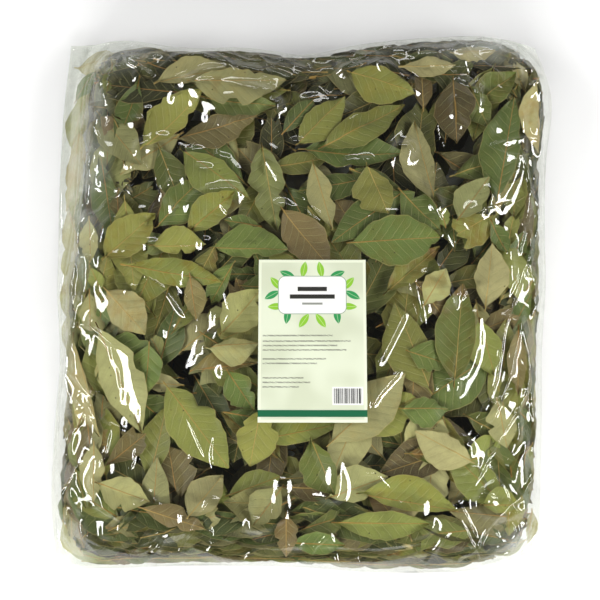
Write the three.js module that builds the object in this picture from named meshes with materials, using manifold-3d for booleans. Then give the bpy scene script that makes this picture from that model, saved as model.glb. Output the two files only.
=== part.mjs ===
// Clear film bag of loose dried bay leaves, with a paper label on its face, lying flat with the label up.
// Millimetres. +X is to the right and +Y towards the bag's mouth, as seen from above, and +Z is up.
// The origin is on the table, under the middle of the bag.

import * as THREE from 'three';
import { mergeVertices } from 'three/addons/utils/BufferGeometryUtils.js';
import Module from 'manifold-3d';

const wasm = await Module();
wasm.setup();

const { clamp, lerp, smoothstep, seededRandom } = THREE.MathUtils;

// The bag's outline as it lies: X of its two sides from the closed end to the mouth,
// and Y of its two ends from left to right, each at nine even steps.
const HALF_WIDTH = 237;
const HALF_LENGTH = 256;
const LEFT_SIDE = [-223, -229, -229, -227, -233, -236, -237, -236, -232];
const RIGHT_SIDE = [207, 210, 214, 217, 223, 225, 229, 237, 226];
const CLOSED_END = [-253, -252, -250, -250, -251, -255, -256, -253, -237];
const MOUTH_END = [252, 252, 244, 244, 237, 248, 254, 256, 249];

// Film
const FILM = 0.6;
const FIN = 2.6;
const SEAM_HEIGHT = 24;
const SEAM_DROOP = 0.55;
const SEAM_DROOP_RANGE = 1.5;
const FILM_TOP = 62;
const CROWN = 4;
const UNDERSIDE_REACH = 1.4;
const SQUARENESS = 12;
const MOUTH_OVERRUN = 0.6;
const RIM = 1.2;

// Slack film between the bag's outline and the leaves inside
const LEFT_SLACK = [5, 6, 6, 6, 10, 20, 24, 24, 26];
const SIDE_SLACK = 4;
const END_SLACK = 4;

// Soft lumps in the upper face, which die out under the flat label
const LUMP = 2.4;
const LUMP_SPAN_X = 41;
const LUMP_SPAN_Y = 47;
const LUMP_SHIFT_X = 0.6;
const LUMP_SHIFT_Y = -0.4;
const SMALL_LUMP = 0.5;

// Label
const LABEL_WIDTH = 96;
const LABEL_LENGTH = 147;
const LABEL_X = 5;
const LABEL_Y = -55;
const LABEL_THICK = 0.6;
const LABEL_GAP = 0.35;
const LABEL_CALM = 45;

// Leaves on top of the heap: each lies on the deck in a layer of its own wherever two overlap
const DECK_TOP = 45;
const DECK_INSET = 8;
const LAYER_PITCH = 2.2;
const BLADE = 0.7;
const BLADE_FOLD = 0.4;
const SLOPE_PROBE = 0.5;

// Outline of a blade: a slim stalk end, widest just short of the middle, with a waved margin
const WIDEST_SHIFT = 0.9;
const BLUNTNESS = 0.75;
const STALK_SHARE = 0.05;
const MARGIN_WAVE = 0.07;
const MARGIN_WAVES = 2.5;
const OVERLAP_SPARE = 0.05;

// Heap of leaves under them: its core, and the loose blades that stand out of it
const CORE_SHARE = 0.9;
const CORE_DROP = 14;
const CORE_WALL = 2;
const HEAP_CLEAR = 1.5;
const SIDE_CEILING = 31;
const WALL_MARGIN = 0.22;
const HEAP_BLADE = 0.9;
const HEAP_BLADE_LENGTH = [60, 95];
const HEAP_BLADE_WIDTH = [24, 38];
const SIDE_BLADES = 76;
const SIDE_TILT = [-0.09, 0.09];
const LOWEST_SIDE_BLADE = 5;
const DEEPEST_SIDE_REACH = 0.6;
const SIDE_REACH_STEP = 0.01;
const TOP_ROWS = 9;
const TOP_COLUMNS = 8;
const TOP_REACH = 0.9;
const TOP_TILT = [0.16, 0.3];
const TOP_JITTER = [0.2, 0.8];
const UNDER_BLADES = 14;
const UNDER_REACH = [-0.76, 0.76];
const UNDER_TILT = [0.05, 0.08];
const GOLDEN_SHARE = 0.618;
const SEED = 11;

const ROUGHNESS = { film: 0.15, label: 0.5, leaf: 0.65 };
const COLOURS = {
  film: 0xdfe6d6,
  label: 0xe3ebcb,
  green: 0x5f6a3a,
  olive: 0x7d7d3e,
  khaki: 0xa39a68,
  brown: 0x84693c,
};

// Leaves seen on the face: stalk end X and Y, tip X and Y, width, tone, from the lowest to the uppermost
const FACE_LEAVES = [
  [-144, 194, -75, 209, 27, 'khaki'],
  [-100, 180, -29, 168, 29, 'green'],
  [-154, 127, -96, 187, 35, 'olive'],
  [-112, 194, -19, 196, 40, 'khaki'],
  [-125, 140, -46, 158, 31, 'brown'],
  [-139, 52, -94, 102, 37, 'green'],
  [-118, 130, -52, 79, 37, 'olive'],
  [-42, 135, -27, 49, 34, 'green'],
  [-112, 45, -66, 84, 29, 'olive'],
  [-8, 128, 91, 121, 37, 'green'],
  [-10, 132, 36, 179, 31, 'olive'],
  [11, 128, 92, 171, 32, 'olive'],
  [38, 205, 102, 183, 38, 'olive'],
  [87, 211, 141, 212, 21, 'khaki'],
  [154, 170, 198, 204, 31, 'green'],
  [152, 193, 170, 146, 29, 'green'],
  [138, 200, 141, 137, 38, 'brown'],
  [55, 113, 75, 64, 39, 'olive'],
  [84, 89, 122, 49, 33, 'green'],
  [119, 70, 101, 156, 33, 'khaki'],
  [174, 72, 195, 179, 37, 'green'],
  [137, 57, 168, 99, 30, 'green'],
  [161, -26, 169, 36, 31, 'khaki'],
  [69, -12, 122, 35, 24, 'olive'],
  [36, 36, 122, 43, 47, 'green'],
  [-24, 71, 21, 14, 39, 'brown'],
  [-88, 32, -17, 30, 33, 'green'],
  [-186, 21, -139, 66, 37, 'olive'],
  [-169, 17, -77, 0, 26, 'olive'],
  [-143, 33, -92, 36, 27, 'olive'],
  [-184, -4, -145, -47, 34, 'khaki'],
  [-106, 8, -99, -35, 20, 'brown'],
  [-78, -50, -42, -8, 38, 'olive'],
  [-104, -81, -44, -74, 20, 'brown'],
  [-90, -61, -42, -56, 26, 'khaki'],
  [-141, -54, -143, -105, 32, 'green'],
  [-190, -36, -145, -137, 40, 'khaki'],
  [-71, -81, -46, -117, 28, 'green'],
  [-127, -91, -69, -166, 45, 'olive'],
  [-40, -114, -50, -165, 37, 'olive'],
  [88, -63, 128, -76, 30, 'green'],
  [104, -24, 127, 14, 26, 'khaki'],
  [155, -32, 168, -86, 32, 'olive'],
  [130, -97, 142, 0, 37, 'green'],
  [81, -115, 125, -115, 28, 'green'],
  [17, -149, 87, -84, 45, 'khaki'],
  [168, -105, 176, -149, 28, 'khaki'],
  [147, -163, 95, -135, 31, 'khaki'],
  [-187, -143, -186, -196, 23, 'khaki'],
  [-185, -179, -137, -196, 31, 'khaki'],
  [-146, -201, -89, -219, 21, 'brown'],
  [-104, -211, -74, -172, 31, 'khaki'],
  [-20, -182, -47, -217, 31, 'khaki'],
  [16, -194, 71, -174, 31, 'green'],
  [3, -140, 24, -191, 33, 'green'],
  [21, -214, 106, -215, 25, 'olive'],
  [43, -189, 132, -204, 31, 'olive'],
];

// Stations along a blade, from the stalk to the tip
const FACE_STATIONS = [0, 0.12, 0.3, 0.5, 0.7, 0.88, 1];
const HEAP_STATIONS = [0, 0.3, 0.66, 1];
const OVERLAP_STATIONS = [0, 0.1, 0.2, 0.3, 0.4, 0.5, 0.6, 0.7, 0.8, 0.9, 1];
const ACROSS = [-1, 0, 1];
const EDGES = [-1, 1];

// Steps across the bag, closer together at its walls
const HALF_STEPS = [0.2, 0.4, 0.6, 0.75, 0.84, 0.9, 0.945, 0.975, 1];
const BAG_STEPS = [...HALF_STEPS.map((step) => -step).reverse(), 0, ...HALF_STEPS];
const CORE_STEPS = [-1, -0.93, -0.75, -0.3, 0.3, 0.75, 0.93, 1];

// Smooth value at share t, from -1 to 1, along a row of evenly spaced values
function along(values, t) {
  const last = values.length - 1;
  const place = clamp((t + 1) / 2, 0, 1) * last;
  const start = Math.min(Math.floor(place), last - 1);
  const [a, b, c, d] = [-1, 0, 1, 2].map((step) => values[clamp(start + step, 0, last)]);
  const s = place - start;
  return b + 0.5 * s * (c - a + s * (2 * a - 5 * b + 4 * c - d + s * (3 * (b - c) + d - a)));
}

// Place on the table of the film at share u across and v along
function filmPlace(u, v) {
  const x = lerp(along(LEFT_SIDE, v), along(RIGHT_SIDE, v), (u + 1) / 2);
  const y = lerp(along(CLOSED_END, u), along(MOUTH_END, u), (v + 1) / 2);
  return [x, y];
}

// Sides and ends of the filled part, inside the slack film
function filledSides(v, inset = 0) {
  return [along(LEFT_SIDE, v) + along(LEFT_SLACK, v) + inset, along(RIGHT_SIDE, v) - SIDE_SLACK - inset];
}

function filledEnds(u, inset = 0) {
  return [along(CLOSED_END, u) + END_SLACK + inset, along(MOUTH_END, u) - END_SLACK - inset];
}

// Place on the table at share u across and v along the filled part
function filledPlace(u, v) {
  return [lerp(...filledSides(v), (u + 1) / 2), lerp(...filledEnds(u), (v + 1) / 2)];
}

// How far a place is inside the filled part: 1 in the middle, 0 at its wall, less outside it
function fullness(x, y, inset = 0) {
  const [left, right] = filledSides(y / HALF_LENGTH, inset);
  const [low, high] = filledEnds(x / HALF_WIDTH, inset);
  const u = (2 * x - left - right) / (right - left);
  const v = (2 * y - low - high) / (high - low);
  return 1 - Math.abs(u) ** SQUARENESS - Math.abs(v) ** SQUARENESS;
}

function rise(full) {
  return Math.sqrt(Math.max(0, full));
}

// Lumps and the low crown of the upper face
function relief(x, y) {
  const beside = Math.max(Math.abs(x - LABEL_X) - LABEL_WIDTH / 2, Math.abs(y - LABEL_Y) - LABEL_LENGTH / 2);
  const calm = smoothstep(beside, LABEL_CALM, 2 * LABEL_CALM);
  const wide = Math.sin(x / LUMP_SPAN_X + LUMP_SHIFT_X) * Math.cos(y / LUMP_SPAN_Y + LUMP_SHIFT_Y);
  const small = Math.sin(x / LUMP_SPAN_Y + y / LUMP_SPAN_X);
  const crown = (1 - (x / HALF_WIDTH) ** 2) * (1 - (y / HALF_LENGTH) ** 2);
  return LUMP * calm * (wide + SMALL_LUMP * small) + CROWN * crown;
}

// Height of the middle of the flat fin, which hangs lower the further it is from the leaves
function seam(x, y) {
  return SEAM_HEIGHT * (1 - SEAM_DROOP * smoothstep(-fullness(x, y), 0, SEAM_DROOP_RANGE));
}

function topSkin(x, y, thinner = 0, inset = 0) {
  const lift = rise(fullness(x, y, inset));
  return seam(x, y) + FIN / 2 - thinner + (FILM_TOP - SEAM_HEIGHT + relief(x, y)) * lift;
}

function underSkin(x, y, thinner = 0, inset = 0) {
  const drop = UNDERSIDE_REACH * SEAM_HEIGHT * rise(fullness(x, y, inset));
  return Math.max(thinner, seam(x, y) - FIN / 2 + thinner - drop);
}

function deck(x, y) {
  const lift = rise(fullness(x, y, DECK_INSET));
  return SEAM_HEIGHT + (DECK_TOP - SEAM_HEIGHT + relief(x, y)) * lift;
}

// Point at a height above the deck, measured square to it
function aboveDeck(x, y, height) {
  const slopeX = deck(x + SLOPE_PROBE, y) - deck(x - SLOPE_PROBE, y);
  const slopeY = deck(x, y + SLOPE_PROBE) - deck(x, y - SLOPE_PROBE);
  const square = new THREE.Vector3(-slopeX, -slopeY, 2 * SLOPE_PROBE).normalize();
  return new THREE.Vector3(x, y, deck(x, y)).addScaledVector(square, height);
}

// Closed body between an upper and an under grid of points; point(u, v, side) has side 0 above and 1 below
function gridSolid(point, stepsU, stepsV) {
  const positions = [];
  for (const side of [0, 1]) {
    for (const v of stepsV) {
      for (const u of stepsU) {
        positions.push(...point(u, v, side));
      }
    }
  }
  const index = [];
  const lastU = stepsU.length - 1;
  const lastV = stepsV.length - 1;
  const at = (side, u, v) => (side * stepsV.length + v) * stepsU.length + u;
  const quad = (a, b, c, d) => index.push(a, b, c, a, c, d);
  for (let v = 0; v < lastV; v += 1) {
    for (let u = 0; u < lastU; u += 1) {
      quad(at(0, u, v), at(0, u + 1, v), at(0, u + 1, v + 1), at(0, u, v + 1));
      quad(at(1, u, v), at(1, u, v + 1), at(1, u + 1, v + 1), at(1, u + 1, v));
    }
    quad(at(1, 0, v + 1), at(1, 0, v), at(0, 0, v), at(0, 0, v + 1));
    quad(at(1, lastU, v), at(1, lastU, v + 1), at(0, lastU, v + 1), at(0, lastU, v));
  }
  for (let u = 0; u < lastU; u += 1) {
    quad(at(1, u, 0), at(1, u + 1, 0), at(0, u + 1, 0), at(0, u, 0));
    quad(at(1, u + 1, lastV), at(1, u, lastV), at(0, u, lastV), at(0, u + 1, lastV));
  }
  const geometry = new THREE.BufferGeometry();
  geometry.setAttribute('position', new THREE.Float32BufferAttribute(positions, 3));
  geometry.setIndex(index);
  return geometry;
}

function toSolid(geometry) {
  const merged = mergeVertices(geometry);
  const vertProperties = new Float32Array(merged.attributes.position.array);
  const triVerts = new Uint32Array(merged.index.array);
  return new wasm.Manifold(new wasm.Mesh({ numProp: 3, vertProperties, triVerts }));
}

function toGeometry(solid) {
  const mesh = solid.getMesh();
  const geometry = new THREE.BufferGeometry();
  geometry.setAttribute('position', new THREE.BufferAttribute(mesh.vertProperties, 3));
  geometry.setIndex(new THREE.BufferAttribute(mesh.triVerts, 1));
  return geometry;
}

function node(name, geometry, colour, roughness) {
  geometry.computeVertexNormals();
  const material = new THREE.MeshStandardMaterial({ color: colour, roughness, metalness: 0 });
  const mesh = new THREE.Mesh(geometry, material);
  mesh.name = name;
  return mesh;
}

// The bag: its outside less its inside, which runs out through a slit at the mouth
function bagFilm() {
  const outside = gridSolid(
    (u, v, side) => {
      const [x, y] = filmPlace(u, v);
      return [x, y, side ? underSkin(x, y) : topSkin(x, y)];
    },
    BAG_STEPS,
    BAG_STEPS,
  );
  const inside = gridSolid(
    (u, v, side) => {
      const [x, y] = filmPlace(u, v);
      const past = v === 1 ? MOUTH_OVERRUN : -RIM;
      const inner = filmPlace(u * (1 - RIM / HALF_WIDTH), v * (1 + past / HALF_LENGTH));
      return [...inner, side ? underSkin(x, y, FILM, FILM) : topSkin(x, y, FILM, FILM)];
    },
    BAG_STEPS,
    BAG_STEPS,
  );
  return toGeometry(toSolid(outside).subtract(toSolid(inside)));
}

function label() {
  const steps = [-1, -0.5, 0, 0.5, 1];
  return gridSolid(
    (u, v, side) => {
      const x = LABEL_X + (u * LABEL_WIDTH) / 2;
      const y = LABEL_Y + (v * LABEL_LENGTH) / 2;
      return [x, y, topSkin(x, y) + LABEL_GAP + (side ? 0 : LABEL_THICK)];
    },
    steps,
    steps,
  );
}

// Half width of a blade at share t from stalk to tip
function halfWidth(width, t) {
  const lens = Math.sin(Math.PI * clamp(t, 0, 1) ** WIDEST_SHIFT);
  return (width / 2) * Math.max(STALK_SHARE, Math.abs(lens) ** BLUNTNESS);
}

function leafFrame([stalkX, stalkY, tipX, tipY, width, tone], number) {
  const run = new THREE.Vector2(tipX - stalkX, tipY - stalkY);
  return { stalkX, stalkY, run, length: run.length(), width, tone, number };
}

// Place on the table at share t along a leaf and s across it, with a waved margin
function leafPlace(leaf, s, t) {
  const wave = 1 + MARGIN_WAVE * Math.sin(2 * Math.PI * MARGIN_WAVES * t + leaf.number * (2 + s));
  const out = (s * halfWidth(leaf.width, t) * wave) / leaf.length;
  return [leaf.stalkX + leaf.run.x * t + leaf.run.y * out, leaf.stalkY + leaf.run.y * t - leaf.run.x * out];
}

function covers(leaf, x, y) {
  const dx = x - leaf.stalkX;
  const dy = y - leaf.stalkY;
  const t = (dx * leaf.run.x + dy * leaf.run.y) / leaf.length ** 2;
  const aside = Math.abs(dy * leaf.run.x - dx * leaf.run.y) / leaf.length;
  const reach = halfWidth(leaf.width, t) * (1 + OVERLAP_SPARE) + BLADE;
  return t > -OVERLAP_SPARE && t < 1 + OVERLAP_SPARE && aside < reach;
}

function overlap(one, other) {
  const reaches = (a, b, t) => ACROSS.some((s) => covers(b, ...leafPlace(a, s, t)));
  const touches = (a, b) => OVERLAP_STATIONS.some((t) => reaches(a, b, t));
  return touches(one, other) || touches(other, one);
}

// Each leaf's layer is one above the highest earlier leaf that it overlaps
function layered(leaves) {
  leaves.forEach((leaf, index) => {
    const under = leaves.slice(0, index).filter((other) => overlap(leaf, other));
    leaf.layer = under.length ? 1 + Math.max(...under.map((other) => other.layer)) : 0;
  });
  return leaves;
}

function faceLeaf(leaf) {
  return gridSolid(
    (s, t, side) => {
      const [x, y] = leafPlace(leaf, s, t);
      const fold = BLADE_FOLD * Math.abs(s);
      return aboveDeck(x, y, leaf.layer * LAYER_PITCH + fold + (side ? 0 : BLADE)).toArray();
    },
    ACROSS,
    FACE_STATIONS,
  );
}

function between([low, high]) {
  return lerp(low, high, seededRandom());
}

// A stiff loose blade, centred, tilted along its length and turned to any heading
function heapBlade(tilts) {
  const length = between(HEAP_BLADE_LENGTH);
  const width = between(HEAP_BLADE_WIDTH);
  const blade = gridSolid(
    (s, t, side) => [(t - 0.5) * length, -s * halfWidth(width, t), side ? 0 : HEAP_BLADE],
    EDGES,
    HEAP_STATIONS,
  );
  return blade.rotateY(between(tilts)).rotateZ(between([-Math.PI, Math.PI]));
}

function corners(geometry) {
  const position = geometry.attributes.position;
  const corner = (_, index) => new THREE.Vector3().fromBufferAttribute(position, index);
  return Array.from({ length: position.count }, corner);
}

// Share of the full height at which the bag's wall stands at height z
function wallShare(z) {
  const above = (z - SEAM_HEIGHT) / (FILM_TOP - SEAM_HEIGHT);
  const below = (SEAM_HEIGHT - z) / (UNDERSIDE_REACH * SEAM_HEIGHT);
  return Math.min(1, Math.max(above, below));
}

// Highest place for the heap, just under the deck or under the leaves that overhang it at the walls
function heapCeiling(x, y) {
  return Math.max(SIDE_CEILING, deck(x, y) - HEAP_CLEAR);
}

function insideHeap({ x, y, z }) {
  const clearOfWall = fullness(x, y) > wallShare(z) ** 2 + WALL_MARGIN;
  return clearOfWall && z <= heapCeiling(x, y) && z > underSkin(x, y, FILM, FILM) + HEAP_CLEAR;
}

// The blade moved to its place, or nothing where it would come through the film
function settled(blade, x, y, z) {
  const place = new THREE.Vector3(x, y, z);
  const clear = corners(blade).every((point) => insideHeap(point.add(place)));
  return clear ? blade.translate(x, y, z) : null;
}

// Place at a share of the way round the edge of a square of half side 1
function roundSquare(share) {
  const lap = 4 * share;
  const t = 2 * (lap % 1) - 1;
  return [[1, t], [-t, 1], [-1, -t], [t, -1]][Math.floor(lap) % 4];
}

// A blade in the heap's side, slid in from the wall until it is clear of the film
function sideBlade(_, number) {
  const blade = heapBlade(SIDE_TILT);
  const [across, up] = roundSquare((number + between([0, 1])) / SIDE_BLADES);
  const height = lerp(LOWEST_SIDE_BLADE, DECK_TOP - LAYER_PITCH, (number * GOLDEN_SHARE) % 1);
  for (let reach = 1; reach > DEEPEST_SIDE_REACH; reach -= SIDE_REACH_STEP) {
    const placed = settled(blade, ...filledPlace(reach * across, reach * up), height);
    if (placed) {
      return placed;
    }
  }
  return null;
}

// A tilted blade that rises out of the heap's top to just under the deck
function topBlade(_, number) {
  const blade = heapBlade(TOP_TILT);
  const column = (number % TOP_COLUMNS) + between(TOP_JITTER);
  const row = Math.floor(number / TOP_COLUMNS) + between(TOP_JITTER);
  const across = TOP_REACH * ((2 * column) / TOP_COLUMNS - 1);
  const up = TOP_REACH * ((2 * row) / TOP_ROWS - 1);
  const [x, y] = filledPlace(across, up);
  const room = corners(blade).map((point) => heapCeiling(point.x + x, point.y + y) - point.z);
  return settled(blade, x, y, Math.min(...room));
}

// A tilted blade that comes down out of the heap's underside to just above the film
function underBlade() {
  const blade = heapBlade(UNDER_TILT);
  const [x, y] = filledPlace(between(UNDER_REACH), between(UNDER_REACH));
  const lowest = Math.min(...corners(blade).map((point) => point.z));
  return blade.translate(x, y, FILM + HEAP_CLEAR - lowest);
}

// The heap: a smaller core in the same body, with blades standing out of its top, sides and underside
function leafHeap() {
  const core = gridSolid(
    (a, b, side) => {
      const most = Math.max(Math.abs(a), Math.abs(b));
      const round = (Math.abs(a) ** SQUARENESS + Math.abs(b) ** SQUARENESS) ** (1 / SQUARENESS);
      const pull = (CORE_SHARE * most) / (round || 1);
      const [x, y] = filledPlace(a * pull, b * pull);
      const lift = rise(fullness(x, y, DECK_INSET));
      const top = SEAM_HEIGHT + CORE_WALL + (deck(x, y) - SEAM_HEIGHT - CORE_DROP) * lift;
      const foot = lerp(SEAM_HEIGHT - CORE_WALL, FILM + 2 * HEAP_CLEAR, lift);
      return [x, y, side ? foot : top];
    },
    CORE_STEPS,
    CORE_STEPS,
  );
  seededRandom(SEED);
  const blades = [
    ...Array.from({ length: SIDE_BLADES }, sideBlade),
    ...Array.from({ length: TOP_ROWS * TOP_COLUMNS }, topBlade),
    ...Array.from({ length: UNDER_BLADES }, underBlade),
  ].filter((blade) => blade !== null);
  const heap = blades.reduce((body, blade) => body.add(toSolid(blade)), toSolid(core));
  const bodies = heap.decompose().sort((one, other) => other.volume() - one.volume());
  return toGeometry(bodies[0]);
}

const bag = new THREE.Group();
bag.add(node('bag_film', bagFilm(), COLOURS.film, ROUGHNESS.film));
bag.add(node('label', label(), COLOURS.label, ROUGHNESS.label));
bag.add(node('leaf_heap', leafHeap(), COLOURS.olive, ROUGHNESS.leaf));
layered(FACE_LEAVES.map(leafFrame)).forEach((leaf) => {
  const name = `leaf_${String(leaf.number + 1).padStart(2, '0')}`;
  bag.add(node(name, faceLeaf(leaf), COLOURS[leaf.tone], ROUGHNESS.leaf));
});

export default bag;
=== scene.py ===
import math
from functools import partial

import bpy
import numpy as np
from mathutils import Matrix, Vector


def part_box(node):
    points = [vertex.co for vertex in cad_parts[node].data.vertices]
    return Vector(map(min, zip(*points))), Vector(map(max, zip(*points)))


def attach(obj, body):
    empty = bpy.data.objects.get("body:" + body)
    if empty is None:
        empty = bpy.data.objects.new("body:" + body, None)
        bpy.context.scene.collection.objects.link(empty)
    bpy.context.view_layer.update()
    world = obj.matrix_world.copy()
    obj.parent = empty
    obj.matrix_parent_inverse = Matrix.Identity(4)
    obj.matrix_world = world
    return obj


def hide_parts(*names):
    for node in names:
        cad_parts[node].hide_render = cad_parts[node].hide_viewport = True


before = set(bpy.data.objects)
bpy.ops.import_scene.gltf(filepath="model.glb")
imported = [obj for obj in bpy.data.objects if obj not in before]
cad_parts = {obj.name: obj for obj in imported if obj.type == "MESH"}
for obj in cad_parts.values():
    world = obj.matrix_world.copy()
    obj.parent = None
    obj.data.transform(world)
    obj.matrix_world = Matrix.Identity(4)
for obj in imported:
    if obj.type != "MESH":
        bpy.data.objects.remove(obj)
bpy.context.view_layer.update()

bl_info = {
    "name": "Bag of Dried Bay Leaves",
    "version": (1, 0, 0),
    "blender": (4, 5, 0),
    "location": "3D View > Sidebar > Bay Leaves",
    "description": "Builds the leaves, the film bag and its paper label around the packed part",
    "category": "Object",
}

MM = 0.001
SEED = 7

# The bag's outline as in the part's source, in millimetres: X of its sides from the closed end to the mouth,
# and Y of its ends from left to right, each at nine even steps.
HALF_WIDTH = 237
HALF_LENGTH = 256
LEFT_SIDE = np.array([-223, -229, -229, -227, -233, -236, -237, -236, -232], float)
RIGHT_SIDE = np.array([207, 210, 214, 217, 223, 225, 229, 237, 226], float)
CLOSED_END = np.array([-253, -252, -250, -250, -251, -255, -256, -253, -237], float)
MOUTH_END = np.array([252, 252, 244, 244, 237, 248, 254, 256, 249], float)
LEFT_SLACK = np.array([5, 6, 6, 6, 10, 20, 24, 24, 26], float)
SIDE_SLACK = 4
END_SLACK = 4
SQUARENESS = 12
SEAM_HEIGHT = 24
SEAM_DROOP = 0.55
SEAM_DROOP_RANGE = 1.5
FILM_TOP = 62
CROWN = 4
UNDERSIDE_REACH = 1.4
HALF_FIN = 1.3

# Leaves on the face as in the part's source, from the lowest to the uppermost, in millimetres:
# stalk end X and Y, tip X and Y, width, tone, and steps of brightness from that tone; the steps are partly
# the leaf's own tone, partly painted shade towards the mouth, and on a few leaves a painted sheen
FACE_LEAVES = (
    (-144, 194, -75, 209, 27, "khaki", -2),
    (-100, 180, -29, 168, 29, "green", -1),
    (-154, 127, -96, 187, 35, "olive", 1),
    (-112, 194, -19, 196, 40, "khaki", -2),
    (-125, 140, -46, 158, 31, "brown", -4),
    (-139, 52, -94, 102, 37, "green", 1),
    (-118, 130, -52, 79, 37, "olive", -1),
    (-42, 135, -27, 49, 34, "green", 0),
    (-112, 45, -66, 84, 29, "olive", 0),
    (-8, 128, 91, 121, 37, "green", -1),
    (-10, 132, 36, 179, 31, "olive", -2),
    (11, 128, 92, 171, 32, "olive", -3),
    (38, 205, 102, 183, 38, "olive", 0),
    (87, 211, 141, 212, 21, "khaki", -1),
    (154, 170, 198, 204, 31, "green", 1),
    (152, 193, 170, 146, 29, "green", -1),
    (138, 200, 141, 137, 38, "brown", -6),
    (55, 113, 75, 64, 39, "olive", -2),
    (84, 89, 122, 49, 33, "green", -2),
    (119, 70, 101, 156, 33, "khaki", -3),
    (174, 72, 195, 179, 37, "green", -2),
    (137, 57, 168, 99, 30, "green", -1),
    (161, -26, 169, 36, 31, "khaki", 0),
    (69, -12, 122, 35, 24, "olive", 0),
    (36, 36, 122, 43, 47, "green", 2),
    (-24, 71, 21, 14, 39, "brown", 0),
    (-88, 32, -17, 30, 33, "green", 3),
    (-186, 21, -139, 66, 37, "olive", 2),
    (-169, 17, -77, 0, 26, "olive", 1),
    (-143, 33, -92, 36, 27, "olive", 2),
    (-184, -4, -145, -47, 34, "khaki", 1),
    (-106, 8, -99, -35, 20, "brown", 3),
    (-78, -50, -42, -8, 38, "olive", 1),
    (-104, -81, -44, -74, 20, "brown", 1),
    (-90, -61, -42, -56, 26, "khaki", 0),
    (-141, -54, -143, -105, 32, "green", 5),
    (-190, -36, -145, -137, 40, "khaki", 0),
    (-71, -81, -46, -117, 28, "green", 2),
    (-127, -91, -69, -166, 45, "olive", 0),
    (-40, -114, -50, -165, 37, "olive", 1),
    (88, -63, 128, -76, 30, "green", 1),
    (104, -24, 127, 14, 26, "khaki", 2),
    (155, -32, 168, -86, 32, "olive", 1),
    (130, -97, 142, 0, 37, "green", 1),
    (81, -115, 125, -115, 28, "green", 2),
    (17, -149, 87, -84, 45, "khaki", -1),
    (168, -105, 176, -149, 28, "khaki", -1),
    (147, -163, 95, -135, 31, "khaki", 1),
    (-187, -143, -186, -196, 23, "khaki", 0),
    (-185, -179, -137, -196, 31, "khaki", 1),
    (-146, -201, -89, -219, 21, "brown", 0),
    (-104, -211, -74, -172, 31, "khaki", -2),
    (-20, -182, -47, -217, 31, "khaki", -3),
    (16, -194, 71, -174, 31, "green", 0),
    (3, -140, 24, -191, 33, "green", 2),
    (21, -214, 106, -215, 25, "olive", -1),
    (43, -189, 132, -204, 31, "olive", 1),
)
# Leaves at the edge of the face that belong to the heap, in the same way
EDGE_LEAVES = (
    (221, 203, 217, 127, 21, "khaki", 2),
    (-211, -44, -182, -140, 18, "khaki", 1),
    (-200, 64, -197, 19, 18, "khaki", 1),
    (175, 127, 174, 65, 17, "khaki", -1),
    (168, 59, 183, 27, 18, "green", 0),
    (190, -39, 188, -102, 18, "brown", 1),
    (70, -204, 98, -204, 19, "brown", 2),
    (136, 225, 179, 227, 21, "khaki", 1),
    (-16, -231, 33, -233, 19, "green", 0),
    (-18, -205, -18, -243, 21, "brown", -1),
    (150, -199, 187, -199, 23, "olive", 0),
)
# Leaves that have slipped into the flat slack film at the left, in the same way
SLACK_LEAVES = (
    (-228, 229, -173, 231, 33, "khaki", 2),
    (-216, 167, -229, 81, 20, "khaki", 2),
    (-228, 139, -215, 198, 19, "olive", 2),
    (-227, 84, -208, 28, 20, "khaki", 2),
    (-228, 28, -208, -26, 18, "olive", 2),
    (-210, -9, -221, -65, 16, "khaki", 2),
    (-218, -210, -198, -242, 16, "khaki", 2),
    (-226, 190, -204, 219, 19, "green", 3),
    (-214, 120, -222, 58, 20, "olive", 3),
    (-212, 62, -218, 2, 20, "khaki", 1),
    (-210, 214, -216, 152, 22, "olive", 2),
    (-207, 104, -212, 44, 18, "green", 3),
    (-222, 22, -213, -36, 16, "khaki", 1),
    (-170, 238, -128, 231, 20, "khaki", 0),
    (196, -227, 166, -241, 13, "olive", 1),
    (202, -200, 197, -231, 11, "khaki", 1),
    (-213, -237, -176, -246, 12, "olive", 1),
    (-218, -178, -217, -214, 11, "green", 2),
)
TONES = ("green", "olive", "khaki", "brown")

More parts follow.
